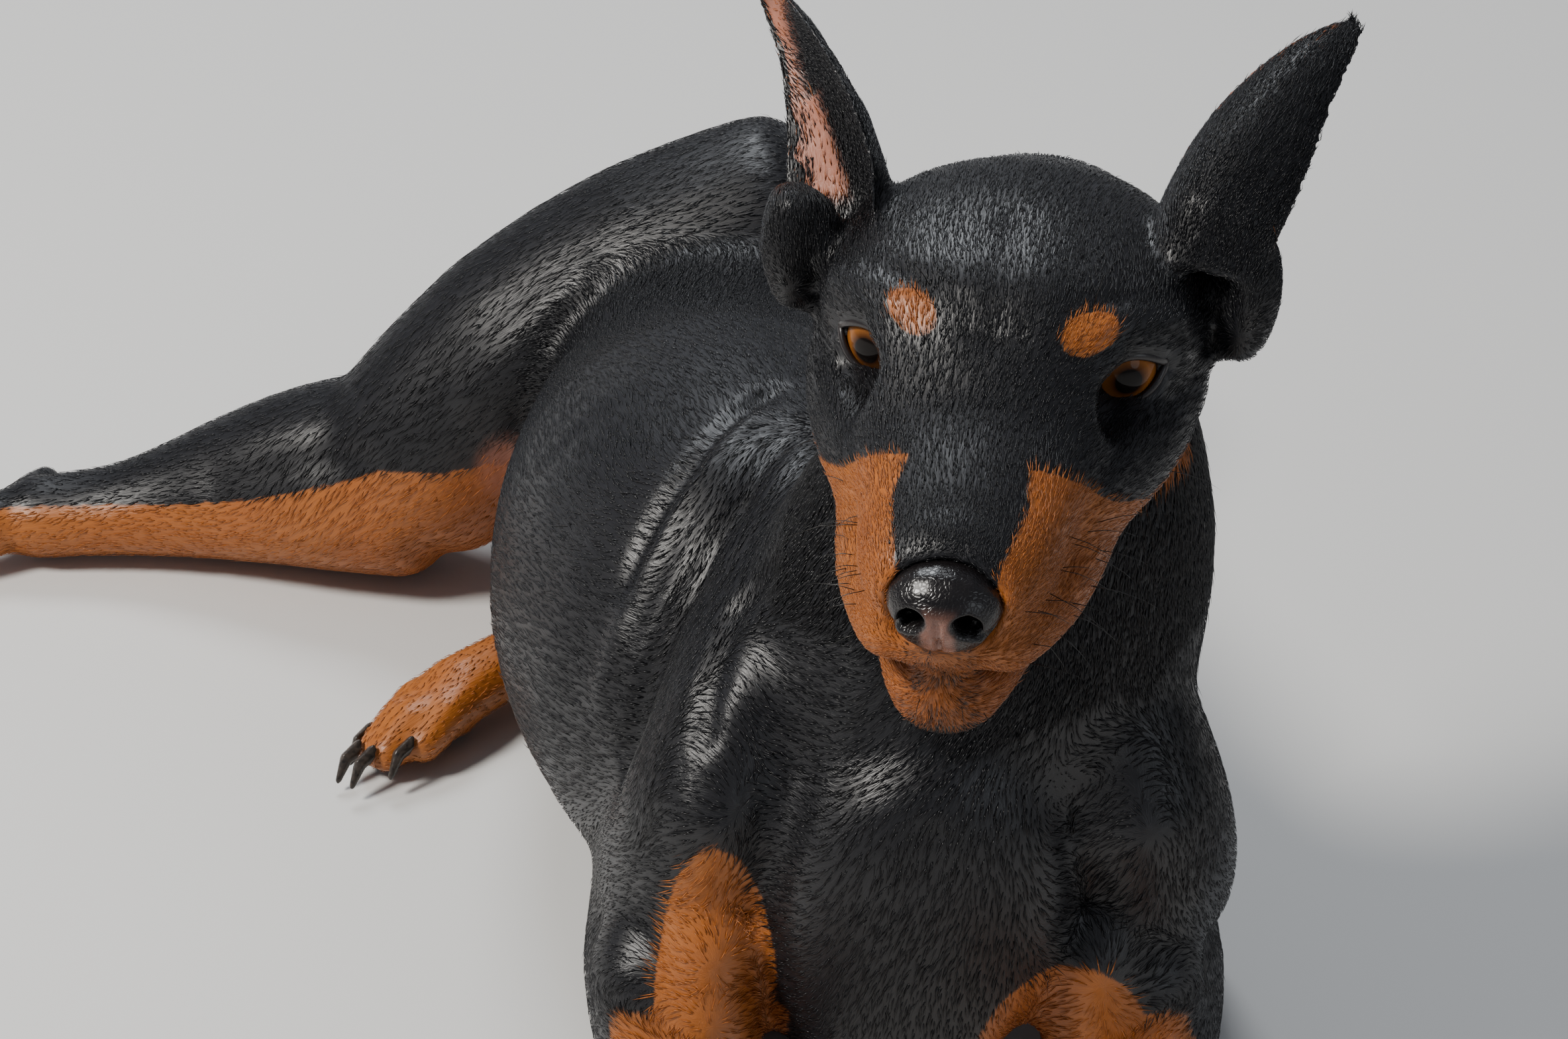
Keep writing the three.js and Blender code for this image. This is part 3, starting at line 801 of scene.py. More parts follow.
@dataclass
class Lie:
    """Which way the coat lies at each place, and which stretch of the body that place belongs to."""

    points: np.ndarray
    normals: np.ndarray
    direction: np.ndarray = field(init=False)
    bone: np.ndarray = field(init=False)
    share: np.ndarray = field(init=False)

    def __post_init__(self) -> None:
        """Works out all three from the bones near each place."""
        total = np.zeros_like(self.points)
        nearest = np.full(len(self.points), np.inf)
        self.bone = np.zeros(len(self.points), dtype=int)
        self.share = np.zeros(len(self.points))
        for number, bone in enumerate(BONES):
            distance, along, share = line_distance(self.points, bone.points())
            clear = np.maximum(distance - bone.radius, 0.5)
            total += along / (clear[:, None] ** 2 + 4.0)
            closer = distance - bone.radius < nearest
            nearest = np.where(closer, distance - bone.radius, nearest)
            self.bone = np.where(closer, number, self.bone)
            self.share = np.where(closer, share, self.share)
        self.direction = self.flattened(total)

    def flattened(self, directions: np.ndarray) -> np.ndarray:
        """Directions laid flat on the surface."""
        return unit(directions - self.normals * (directions * self.normals).sum(1, keepdims=True))

    def relax(self, surface: Surface, rounds: int) -> None:
        """Evens out the lie between neighbours, so that it turns gently where two stretches meet.

        Args:
            surface: the surface that the coat lies on.
            rounds: the number of rounds.
        """
        pairs = surface.edges()
        for _ in range(rounds):
            total = [
                np.bincount(pairs[:, 0], weights=self.direction[pairs[:, 1], k], minlength=len(self.points))
                for k in range(3)
            ]
            self.direction = self.flattened(self.direction + np.stack(total, axis=1))


@dataclass(frozen=True)
class Markings:
    """The black and tan pattern, the bare skin and the leather, as values from 0 to 1 at any place."""

    # patches shaped like balls: middle and three radii
    right_chest: tuple[Point, Point] = ((-38.5, -30.0, 32.0), (13.5, 24.0, 44.0))
    left_chest: tuple[Point, Point] = ((36.0, -36.0, 26.0), (19.0, 24.0, 22.0))
    vent: tuple[Point, Point] = ((-14.0, 270.0, 50.0), (18.0, 16.0, 16.0))
    groin: tuple[Point, Point] = ((-96.0, 176.0, 46.0), (9.0, 12.0, 12.0))
    brow_centre: Point = (16.6, -5.9, 14.8)
    brow_axis: Point = (9.0, 7.5, 3.1)
    left_brow_shift: Point = (1.6, 0.3, -1.0)
    brow_half: float = 6.4
    brow_width: float = 4.1
    # how high the tan reaches on the side of the head, and how far out the black of the bridge reaches, along Y
    cheek_edge: tuple[tuple[float, float], ...] = (
        (-70.0, 8.0),
        (-36.0, 3.0),
        (-30.0, -4.0),
        (-25.0, -11.0),
        (-13.0, -18.5),
        (8.0, -16.5),
        (26.0, -15.0),
    )
    # the slanted height, 0.515 Y + 0.857 Z, up to which the stretched hind leg is tan, along X
    hind_edge: tuple[tuple[float, float], ...] = (
        (-300.0, 122.0),
        (-208.0, 124.0),
        (-183.0, 124.0),
        (-159.0, 126.0),
        (-142.0, 129.3),
        (-130.0, 132.7),
        (-112.0, 132.0),
        (-95.0, 136.0),
    )
    saddle_edge: tuple[tuple[float, float], ...] = ((-62.0, 9.5), (-55.0, 11.0), (-45.0, 13.0), (-30.0, 10.0))

    def tan(self, points: np.ndarray) -> np.ndarray:
        """How much a place belongs to a tan patch; 0.5 lies on the patch's edge.

        Args:
            points: the places asked about.

        Returns:
            A value from 0 to 1 for each place.
        """
        head = HEAD.to_head(points)
        x, y, z = np.abs(head[:, 0]), head[:, 1], head[:, 2]
        inside_head = smooth_step(points[:, 2], 140.0, 146.0)
        mask = np.zeros(len(points))

        def add(value: np.ndarray) -> None:
            """Keeps the larger of the mask so far and a new patch."""
            np.maximum(mask, value, out=mask)

        long_way = unit(np.array(self.brow_axis))
        for sign in (-1, 1):
            centre = np.array(self.brow_centre) + (np.array(self.left_brow_shift) if sign > 0 else 0.0)
            spot = (head - centre * (sign, 1, 1)) * (sign, 1, 1)
            along = spot @ long_way
            across = np.linalg.norm(spot - along[:, None] * long_way, axis=1)
            add(inside_head * smooth_step(np.hypot(along / self.brow_half, across / self.brow_width), 1.2, 0.8))
        edge = np.interp(y, *zip(*self.cheek_edge))
        saddle = np.interp(y, *zip(*self.saddle_edge))
        black_top = smooth_step(x, saddle + 1.5, saddle - 1.5) * smooth_step(z, -13.0, -9.0)
        face = smooth_step(z, edge + 1.6, edge - 1.6) * (1.0 - black_top) * smooth_step(y, 30.0, 22.0)
        chin = smooth_step(x, 9.0, 6.0) * smooth_step(y, -46.0, -52.0) * smooth_step(z, -17.0, -20.0)
        throat = smooth_step(z, -44.0 + 0.1 * (y + 60.0), -40.0 + 0.1 * (y + 60.0))
        add(throat * face * (1.0 - 0.42 * chin))

        px, py, pz = points.T
        for patch in (self.right_chest, self.left_chest):
            add(smooth_step(ball_reach(points, patch), 1.12, 0.9))
        for side_x in (-1, 1):
            start = np.interp(side_x * px, (44.0, 54.0), (6.0, -24.0))
            foreleg = smooth_step(py - start, 6.0, -6.0) * smooth_step(np.abs(px - side_x * 54.0), 24.0, 20.0)
            add(foreleg * smooth_step(pz, 36.0, 30.0))
            inner = smooth_step(side_x * px, 52.0, 46.0) * smooth_step(side_x * px, 20.0, 26.0)
            add(inner * smooth_step(py, 34.0, 24.0) * smooth_step(pz, 34.0, 28.0) * smooth_step(py, -40.0, -30.0))
        distance, _, _ = line_distance(points, BONES_BY_NAME["right_shank"].points())
        height = 0.515 * py + 0.857 * pz
        limit = np.interp(px, *zip(*self.hind_edge))
        lower = smooth_step(height, limit + 2.2, limit - 2.2) * smooth_step(py, 232.0, 226.0)
        add(lower * smooth_step(distance, 46.0, 40.0) * smooth_step(px, -88.0, -94.0))
        hind_paw, _, _ = line_distance(points, BONES_BY_NAME["right_hind_paw"].points())
        add(smooth_step(hind_paw, 19.0, 17.0) * smooth_step(px, -236.0, -250.0))
        for name in ("left_shank", "left_hind_paw"):
            distance, _, _ = line_distance(points, BONES_BY_NAME[name].points())
            add(smooth_step(distance, 20.0, 17.0) * smooth_step(py, 200.0, 190.0))
        add(smooth_step(ball_reach(points, self.vent), 1.1, 0.9))
        return mask

    def bare(self, points: np.ndarray, normals: np.ndarray) -> np.ndarray:
        """Thin pink skin: inside the ears and in the groin.

        Args:
            points: the places asked about.
            normals: the direction that the skin faces at each.

        Returns:
            A value from 0 to 1 for each place.
        """
        head = HEAD.to_head(points)
        value = 0.55 * smooth_step(ball_reach(points, self.groin), 1.2, 0.6)
        for bone, opening, low, high in EAR_OPENINGS:
            distance, _, share = line_distance(points, BONES_BY_NAME[bone].points())
            facing = normals @ unit(np.array(opening))
            inside = smooth_step(facing, low, high) * smooth_step(distance, 19.0, 16.0)
            inside *= smooth_step(share, 0.02, 0.1) * smooth_step(share, 0.97, 0.8)
            inside *= smooth_step(head[:, 2], 2.0, 6.0)
            if bone == "right_ear":
                middle = np.interp(share, (0.0, 1.0), (-38.0, -64.0))
                inside *= smooth_step(head[:, 0] - middle, 3.5, 0.5)
            value = np.maximum(value, inside)
        return value

    def leather(self, points: np.ndarray, normals: np.ndarray) -> np.ndarray:
        """The dark pads under the paws.

        Args:
            points: the places asked about.
            normals: the direction that the skin faces at each.

        Returns:
            A value from 0 to 1 for each place.
        """
        value = np.zeros(len(points))
        for name in PAWS:
            distance, _, share = line_distance(points, BONES_BY_NAME[name].points())
            under = smooth_step(points[:, 2], 3.4, 2.2) * smooth_step(normals[:, 2], -0.2, -0.5)
            value = np.maximum(value, under * smooth_step(distance, 18.0, 15.0) * smooth_step(share, 0.4, 0.5))
        return value


BONES_BY_NAME = {bone.name: bone for bone in BONES}


# ---- Sculpted detail ----

# soft flesh of the lips, chin and ear roots, in the head's frame, and inside the elbows: middle and three radii
HEAD_FLESH: tuple[tuple[Point, Point], ...] = (
    ((0.0, -58.5, -22.5), (12.0, 7.5, 6.8)),
    ((0.0, -55.0, -38.0), (12.5, 9.5, 10.5)),
    ((-42.0, 28.0, 6.0), (6.0, 8.0, 10.0)),
    ((43.0, 29.0, 7.0), (6.5, 8.0, 10.0)),
    ((42.0, 36.0, 16.0), (6.0, 8.0, 8.0)),
)
LEG_ROOTS: tuple[tuple[Point, Point], ...] = (
    ((-40.0, -20.0, 46.0), (11.0, 11.0, 14.0)),
    ((-41.0, -20.0, 30.0), (12.0, 13.0, 16.0)),
    ((-42.0, -12.0, 16.0), (14.0, 22.0, 14.0)),
    ((-55.0, -12.0, 31.0), (13.0, 17.0, 17.0)),
    ((56.0, -12.0, 31.0), (13.0, 17.0, 17.0)),
    ((42.0, -22.0, 42.0), (12.0, 11.0, 14.0)),
    ((43.0, -20.0, 28.0), (13.0, 13.0, 16.0)),
    ((45.0, -12.0, 16.0), (14.0, 22.0, 14.0)),
)


def ellipsoid(centre: np.ndarray, radii: Point, rings: int = 16, spokes: int = 24) -> Surface:
    """A closed ball stretched to three radii.

    Args:
        centre: its middle.
        radii: its reach along X, Y and Z.
        rings: the number of steps from pole to pole.
        spokes: the number of steps round it.

    Returns:
        The ball.
    """
    polar = np.linspace(0, math.pi, rings + 1)[1:-1]
    turn = np.linspace(0, 2 * math.pi, spokes, endpoint=False)
    p, t = np.meshgrid(polar, turn, indexing="ij")
    body = np.stack([np.sin(p) * np.cos(t), np.sin(p) * np.sin(t), np.cos(p)], axis=-1).reshape(-1, 3)
    points = np.concatenate([body, [(0, 0, 1), (0, 0, -1)]]) * radii + centre
    ring = np.arange(spokes)
    after = (ring + 1) % spokes
    faces = []
    for r in range(len(polar) - 1):
        a, b = r * spokes + ring, r * spokes + after
        faces += [np.stack([a, a + spokes, b], 1), np.stack([b, a + spokes, b + spokes], 1)]
    top, last = len(body), (len(polar) - 1) * spokes
    faces.append(np.stack([np.full(spokes, top), ring, after], 1))
    faces.append(np.stack([np.full(spokes, top + 1), last + after, last + ring], 1))
    return Surface(points, np.concatenate(faces))


@dataclass(frozen=True)
class Crease:
    """A groove or ridge along a line on the skin: how wide it is, and how far it goes in or, if below 0, out."""

    line: tuple[Point, ...]
    width: float
    depth: float
    on_head: bool = False
    both_sides: bool = False

    def applied(self, points: np.ndarray, normals: np.ndarray) -> np.ndarray:
        """The move of each point along its normal.

        Args:
            points: the skin's points.
            normals: the direction that the skin faces at each.

        Returns:
            The move in millimetres, below 0 where the skin goes in.
        """
        move = np.zeros(len(points))
        for sign in (1, -1) if self.both_sides else (1,):
            line = np.array(self.line, float) * (sign, 1, 1)
            if self.on_head:
                line = HEAD.to_row(line)
            near = np.abs(points - line.mean(0)).max(1) < np.ptp(line, axis=0).max() + 3 * self.width
            distance, _, share = line_distance(points[near], line)
            fade = smooth_step(share, 0.0, 0.15) * smooth_step(share, 1.0, 0.85)
            move[near] -= self.depth * fade * np.exp(-((distance / self.width) ** 2))
        return move


CREASES: tuple[Crease, ...] = (
    # folds of loose skin behind the right shoulder
    Crease(((-22, 88, 125), (-36, 65, 126), (-48, 49, 119), (-57, 37, 106), (-60, 29, 95)), 3.4, 2.4),
    Crease(((-19, 65, 127), (-34, 37, 122), (-44, 24, 110), (-53, 17, 93), (-58, 14, 72), (-61, -4, 64)), 3.6, 3.2),
    Crease(((-26, 76, 127), (-42, 50, 124), (-53, 38, 112), (-60, 28, 92), (-66, 24, 70)), 4.2, -2.2),
    Crease(((-24, 8, 130), (-35, 6, 114), (-40, -10, 104), (-42, -20, 92)), 4.0, 2.2),
    Crease(((-14, -18, 130), (-20, -24, 104), (-28, -28, 80), (-30, -30, 60)), 5.0, 1.2),
    # the flank fold, and the edge of the thigh
    Crease(((-60, 170, 108), (-76, 172, 92), (-88, 176, 70), (-94, 178, 52)), 4.5, 2.4),
    Crease(((-70, 190, 106), (-92, 186, 84), (-112, 184, 60)), 6.0, -1.2),
    # ribs under the skin
    Crease(((-40, 92, 125), (-72, 92, 108), (-92, 90, 76), (-92, 84, 46)), 3.4, 0.5),
    Crease(((-42, 106, 122), (-74, 106, 106), (-93, 104, 76), (-92, 98, 46)), 3.4, 0.6),
    Crease(((-44, 120, 120), (-74, 120, 104), (-92, 118, 74), (-90, 112, 46)), 3.4, 0.6),
    # hollow over the breastbone
    Crease(((6, -36, 92), (4, -46, 70), (4, -44, 50)), 6.0, 0.8),
    # face: the mouth on each side, the lip groove, lip and cheek folds, frown, brows, bridge and tear hollows
    Crease(
        ((0, -67, -28), (9, -63, -28.5), (15, -56, -28.5), (21, -44, -28.5), (24, -24, -27), (27, -6, -24)),
        1.3,
        1.5,
        True,
    ),
    Crease(
        ((0, -67, -28), (-9, -63, -28.5), (-15, -56, -28.5), (-21, -44, -28.5), (-24, -24, -27), (-27, -6, -24)),
        1.3,
        1.5,
        True,
    ),
    Crease(((0, -68, -17), (0, -67, -27)), 1.0, 0.9, True),
    Crease(((17, -30, -3), (19, -18, -6), (20, -8, -8)), 2.6, 0.8, True, True),
    Crease(((22, -16, -14), (29, -4, -15), (35, 10, -15)), 2.4, 0.9, True, True),
    Crease(((18, -32, -12), (21, -20, -18), (25, -8, -24)), 2.4, 0.8, True, True),
    Crease(((0, -16, 12), (0, 4, 20), (0, 26, 22)), 3.5, 0.9, True),
    Crease(((5, -12, 13), (7, -2, 18)), 2.0, 0.5, True, True),
    Crease(((11, -3, 17), (20, 3, 16.5), (29, 11, 12)), 2.2, 0.8, True, True),
    Crease(((12, -12, 4), (13, -22, 2), (12.5, -36, 1)), 3.0, -0.5, True, True),
    Crease(((8, 0, 5), (11, -5, 2), (13.5, -11, -2), (15, -17, -6)), 4.0, 2.6, True, True),
    # the heel tendon and the shin of the stretched hind leg
    Crease(((-172, 232, 24), (-204, 228, 18), (-230, 226, 16)), 3.4, 1.4),
    Crease(((-128, 184, 50), (-150, 192, 40), (-182, 202, 27)), 5.0, 1.0),
)


@dataclass
class Hide:
    """The skin's surface, with the lie of its coat and its markings at each point."""

    surface: Surface
    normals: np.ndarray
    lie: Lie
    tan: np.ndarray
    bare: np.ndarray
    leather: np.ndarray


@dataclass
class Skin:
    """The dog's whole hide in one piece, without a seam from nose leather to tail."""

    pitch: float = 1.06
    swell: float = 0.35
    coat_depth: float = 0.45
    rounds: int = 60
    settle_share: float = 0.3
    settle_rounds: int = 2
    lie_rounds: int = 14
    lowest: float = 0.3
    # round this place the skin keeps its full thickness up to the first distance, so that it meets the nose leather
    nose_place: Point = (0.0, -60.0, -10.5)
    nose_reach: tuple[float, float] = (11.0, 18.0)

    def flesh_nodes(self) -> list[str]:
        """The frame's nodes that the skin stands for."""
        return [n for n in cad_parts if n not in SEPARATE_NODES and "_claw_" not in n]

    def softness(self, points: np.ndarray) -> np.ndarray:
        """How much the solids' edges are rounded: less on the face, ears and feet.

        Args:
            points: the skin's points.

        Returns:
            How far each point goes in one round of smoothing.
        """
        head = HEAD.to_head(points)
        on_head = smooth_step(np.linalg.norm(head / (62.0, 80.0, 52.0), axis=1), 1.15, 0.9)
        value = 0.62 - 0.5 * on_head
        for name in PAWS:
            distance, _, _ = line_distance(points, BONES_BY_NAME[name].points())
            value = np.minimum(value, 0.1 + 0.5 * smooth_step(distance, 14.0, 24.0))
        for name in ("right_ear", "left_ear"):
            distance, _, _ = line_distance(points, BONES_BY_NAME[name].points())
            value = np.minimum(value, 0.05 + 0.5 * smooth_step(distance, 16.0, 24.0))
        return value

    def fillings(self) -> list[Surface]:
        """Soft flesh that closes the small clefts between the solids.

        Returns:
            The balls of flesh.
        """
        made = []
        for centre, radii in HEAD_FLESH:
            made.append(ellipsoid(HEAD.to_row(np.array(centre)), radii))
        for centre, radii in LEG_ROOTS:
            made.append(ellipsoid(np.array(centre), radii))
        return made

    def open_lids(self, surface: Surface) -> Surface:
        """Parts the skin over the eyes along the lids' edges, and lays the lids on the eyeballs.

        Args:
            surface: the skin.

        Returns:
            The skin with both eyes open.
        """
        head = HEAD.to_head(surface.points)
        for side in Side:
            head = Eye(side).part_lids(head)
        return Surface(HEAD.to_row(head), surface.faces)

    def build(self) -> tuple[bpy.types.Object, Hide]:
        """Makes the skin.

        Returns:
            The skin's object, and what the coat needs to grow on it.
        """
        names = self.flesh_nodes()
        pieces = [node_surface(n, self.swell) for n in names] + self.fillings()
        surface = fused(joined(pieces), self.pitch)
        LOG.info("skin fused from %d nodes, %d points", len(names), len(surface.points))
        surface = surface.smoothed(self.softness(surface.points), self.rounds)
        normals = surface.normals()
        for crease in CREASES:
            surface.points = surface.points + normals * crease.applied(surface.points, normals)[:, None]
        surface = surface.smoothed(np.full(len(surface.points), self.settle_share), self.settle_rounds)
        by_nose = np.linalg.norm(HEAD.to_head(surface.points) - self.nose_place, axis=1)
        depth = (self.swell + self.coat_depth) * smooth_step(by_nose, *self.nose_reach)
        surface.points = surface.points - depth[:, None] * surface.normals()
        surface = self.open_lids(surface)
        surface.points[:, 2] = np.maximum(surface.points[:, 2], self.lowest)
        normals = surface.normals()
        marks = Markings()
        lie = Lie(surface.points, normals)
        lie.relax(surface, self.lie_rounds)
        hide = Hide(
            surface,
            normals,
            lie,
            marks.tan(surface.points),
            marks.bare(surface.points, normals),
            marks.leather(surface.points, normals),
        )
        skin = surface.to_object("skin")
        put_values(skin, "lie", lie.direction)
        put_values(skin, "tan", hide.tan)
        put_values(skin, "bare", hide.bare)
        put_values(skin, "leather", hide.leather)
        skin.data.materials.append(HideFinish().make())
        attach(skin, "root")
        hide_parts(*names)
        return skin, hide


@dataclass
class Nose:
    """The nose leather with its nostrils."""

    pitch: float = 0.45
    rounds: int = 4
    # each nostril: how far out and up its middle lies, its half width and height, and its depth
    hole_place: tuple[float, float] = (5.3, -10.4)
    hole_size: tuple[float, float] = (2.9, 2.5)
    hole_depth: float = 3.4
    slit_line: tuple[Point, ...] = ((6.5, -12.4, 0), (9.4, -13.6, 0), (11.4, -12.6, 0))
    slit_depth: float = 1.5
    groove_depth: float = 0.7

    def build(self) -> bpy.types.Object:
        """Makes the nose leather, with deep nostrils, their side slits and the groove between them.

        Returns:
            The nose leather.
        """
        surface = fused(node_surface("nose"), self.pitch)
        surface = surface.smoothed(np.full(len(surface.points), 0.5), self.rounds)
        head = HEAD.to_head(surface.points)
        across, up = np.abs(head[:, 0]), head[:, 2]
        out, high = self.hole_place
        half_width, half_height = self.hole_size
        hole = np.hypot((across - out) / half_width, (up - high + 0.25 * (across - out)) / half_height)
        slit, _, _ = line_distance(np.stack([across, up, up * 0], axis=1), np.array(self.slit_line))
        front = smooth_step(head[:, 1], -62.5, -65.0)
        push = self.hole_depth * smooth_step(hole, 1.15, 0.5) + self.slit_depth * smooth_step(slit, 1.3, 0.4)
        push += self.groove_depth * smooth_step(across, 1.1, 0.2) * smooth_step(up, -8.0, -10.5)
        head[:, 1] += front * push
        surface.points = HEAD.to_row(head)
        nose = surface.to_object("nose_pad")
        worn = smooth_step(across, 4.0, 2.2) * smooth_step(up, -6.0, -10.5) * front
        put_values(nose, "worn", worn * (1.0 - smooth_step(hole, 1.3, 1.0)))
        # the mask for the painted shade in the nostrils: their pits and side slits
        put_values(nose, "nostril", front * np.maximum(smooth_step(hole, 1.0, 0.7), smooth_step(slit, 0.9, 0.5)))
        nose.data.materials.append(NoseFinish().make())
        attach(nose, "root")
        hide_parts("nose")
        return nose


@dataclass
class Eye:
    """One eyeball with its iris, and the moist rims of its lids."""

    side: Side
    rings: int = 64
    spokes: int = 96
    opening_half: float = 8.7
    rim_radius: float = 0.8
    lid_gap: float = 0.55
    socket_depth: float = 1.2
    # the skin round the opening rises no faster than this from the lids' edge, within a reach of the eye's centre
    bowl_slope: float = 0.9
    bowl_start: float = 0.4
    bowl_reach: float = 15.0

    def centre(self) -> np.ndarray:
        """The eyeball's centre in the head's own frame."""
        return np.array([EYE_SPREAD * self.side.value, EYE_BACK, 0.0])

    def axis(self) -> np.ndarray:
        """The line of sight in the head's own frame."""
        turn = math.radians(EYE_TURN)
        return unit(np.array([math.sin(turn) * self.side.value, -math.cos(turn), 0.06]))

    def ball(self, material: bpy.types.Material) -> bpy.types.Object:
        """The eyeball, with a slightly raised cornea over the iris.

        Args:
            material: its finish.

        Returns:
            The eyeball.
        """
        axis = self.axis()
        across = unit(np.cross(axis, (0, 0, 1)))
        up = np.cross(across, axis)
        polar = np.linspace(0, math.pi, self.rings + 1)[1:-1]
        turn = np.linspace(0, 2 * math.pi, self.spokes, endpoint=False)
        grid_polar, grid_turn = np.meshgrid(polar, turn, indexing="ij")
        radius = EYE_RADIUS - 0.15 + 0.55 * smooth_step(grid_polar, 0.75, 0.15)
        side = np.cos(grid_turn)[..., None] * across + np.sin(grid_turn)[..., None] * up
        body = (np.cos(grid_polar)[..., None] * axis + np.sin(grid_polar)[..., None] * side) * radius[..., None]
        front, back = axis * (EYE_RADIUS + 0.4), -axis * (EYE_RADIUS - 0.15)
        points = np.concatenate([body.reshape(-1, 3), [front, back]])
        rows, columns = len(polar), self.spokes
        faces = []
        ring = np.arange(columns)
        after = (ring + 1) % columns
        for r in range(rows - 1):
            a, b = r * columns + ring, r * columns + after
            c, d = a + columns, b + columns
            faces += [np.stack([a, c, b], 1), np.stack([b, c, d], 1)]
        top = rows * columns
        last = (rows - 1) * columns
        faces.append(np.stack([np.full(columns, top), ring, after], 1))
        faces.append(np.stack([np.full(columns, top + 1), last + after, last + ring], 1))
        surface = Surface(HEAD.to_row(points + self.centre()), np.concatenate(faces))
        ball = surface.to_object(f"{self.side.word}_eyeball")
        put_values(ball, "from_axis", np.concatenate([grid_polar.ravel(), [0.0, math.pi]]))
        put_values(ball, "around_axis", np.concatenate([np.abs(grid_turn - math.pi).ravel(), [0.0, 0.0]]))
        ball.data.materials.append(material)
        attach(ball, "root")
        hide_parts(f"{self.side.word}_eye")
        return ball

    def lid_curves(self, steps: int) -> tuple[np.ndarray, np.ndarray]:
        """The upper lid's edge from the inner corner out, and the lower one's back, as (out, up) pairs.

        Args:
            steps: the number of points on each lid.

        Returns:
            The two lids' edges.
        """
        half = self.opening_half
        upper = ((-half, -1.0), (-1.0, 11.6), (half, 1.4))
        lower = ((half, 1.4), (0.5, -10.6), (-half, -1.0))
        t = np.linspace(0, 1, steps, endpoint=False)[:, None]
        bends = [
            (1 - t) ** 2 * np.array(start) + 2 * t * (1 - t) * np.array(pull) + t**2 * np.array(end)
            for start, pull, end in (upper, lower)
        ]
        return bends[0], bends[1]

    def part_lids(self, head: np.ndarray) -> np.ndarray:
        """Moves the skin over the eye: behind the eyeball inside the lids' edge, just off it outside.

        Args:
            head: the skin's points in the head's own frame.

        Returns:
            The moved points.
        """
        turn = math.radians(EYE_TURN) * self.side.value
        across = np.array([math.cos(turn), math.sin(turn), 0.0]) * self.side.value
        ahead = np.array([math.sin(turn), -math.cos(turn), 0.0])
        spot = head - self.centre()
        reach = np.linalg.norm(spot, axis=1)
        near = (reach < self.bowl_reach) & (spot @ ahead > 0.3 * reach)
        u, v = spot[near] @ across, spot[near, 2]
        upper, lower = self.lid_curves(40)
        half = self.opening_half
        top = np.interp(u, upper[:, 0], upper[:, 1])
        bottom = np.interp(u, lower[::-1, 0], lower[::-1, 1])
        margin = np.minimum(np.minimum(top - v, v - bottom), half - np.abs(u))
        inside = smooth_step(margin, -0.25, 0.45)
        laid = smooth_step(margin, -3.2, -0.8)
        old = reach[near]
        lid = old + laid * (np.maximum(old, EYE_RADIUS + self.lid_gap) - old)
        beyond = np.maximum(-margin - self.bowl_start, 0.0)
        lid = np.minimum(lid, EYE_RADIUS + self.lid_gap + self.bowl_slope * beyond)
        new = inside * np.minimum(old, EYE_RADIUS - self.socket_depth) + (1.0 - inside) * lid
        moved = head.copy()
        moved[near] = self.centre() + spot[near] * (new / np.maximum(old, 1e-6))[:, None]
        return moved

    def opening(self, steps: int = 72) -> np.ndarray:
        """The edge of the lid opening on the eyeball, in the head's own frame.

        Args:
            steps: the number of points in all.

        Returns:
            The closed line, without its first point repeated.
        """
        turn = math.radians(EYE_TURN) * self.side.value
        flat = np.concatenate(self.lid_curves(steps // 2))
        x = flat[:, 0] * self.side.value
        z = flat[:, 1]
        deep = np.sqrt(np.maximum((EYE_RADIUS + 0.75) ** 2 - x**2 - z**2, 4.0))
        out = x * math.cos(turn) + deep * math.sin(turn)
        back = x * math.sin(turn) - deep * math.cos(turn)
        return np.stack([out, back, z], 1) + self.centre()

    def rim(self, material: bpy.types.Material, sides: int = 10) -> bpy.types.Object:
        """The lids' moist rim, a soft dark band round the opening.

        Args:
            material: its finish.
            sides: the number of flat sides of the band.

        Returns:
            The rim.
        """
        line = self.opening()
        count = len(line)
        ahead = unit(np.roll(line, -1, axis=0) - np.roll(line, 1, axis=0))
        outward = unit(line - self.centre())
        flat = unit(np.cross(ahead, outward))
        points = []
        for k in range(sides):
            angle = 2 * math.pi * k / sides
            points.append(line + self.rim_radius * (1.25 * math.cos(angle) * flat + math.sin(angle) * outward))
        points = np.stack(points, 1).reshape(-1, 3)
        faces = []
        for k in range(sides):
            a = np.arange(count) * sides + k
            b = np.arange(count) * sides + (k + 1) % sides
            c, d = np.roll(a, -1), np.roll(b, -1)
            faces += [np.stack([a, b, c], 1), np.stack([b, d, c], 1)]
        rim = Surface(HEAD.to_row(points), np.concatenate(faces)).to_object(f"{self.side.word}_lid_rim")
        rim.data.materials.append(material)
        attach(rim, "root")
        return rim


# ---- The coat ----


@dataclass(frozen=True)
class HairFinish:
    """The hairs of the coat: the hide's own colours, each tuft a little different, and a hard gloss."""

    name: str = "coat_hair"
    roughness: float = 0.33

    def make(self) -> bpy.types.Material:
        """Builds the material.

        Returns:
            The finished material.
        """
        material, board, shader = new_material(self.name)
        colour = use_group(
            board,
            COAT_COLOUR,
            Tan=board.attribute("tan"),
            Bare=board.math("MULTIPLY", board.attribute("bare"), 0.35),
            Variation=board.attribute("own"),
        )
        board.tree.links.new(colour.outputs["Color"], shader.inputs["Base Color"])
        rough = board.math("MULTIPLY_ADD", board.attribute("own"), 0.16, self.roughness - 0.06)
        board.tree.links.new(rough, shader.inputs["Roughness"])
        return material


@dataclass(frozen=True)
class CoatPatch:
    """One piece of the coat: the stretches of the body that it covers, and its share of tufts to the square mm."""

    name: str
    bones: tuple[str, ...]
    density: float
    width: float
    most: int = 27500


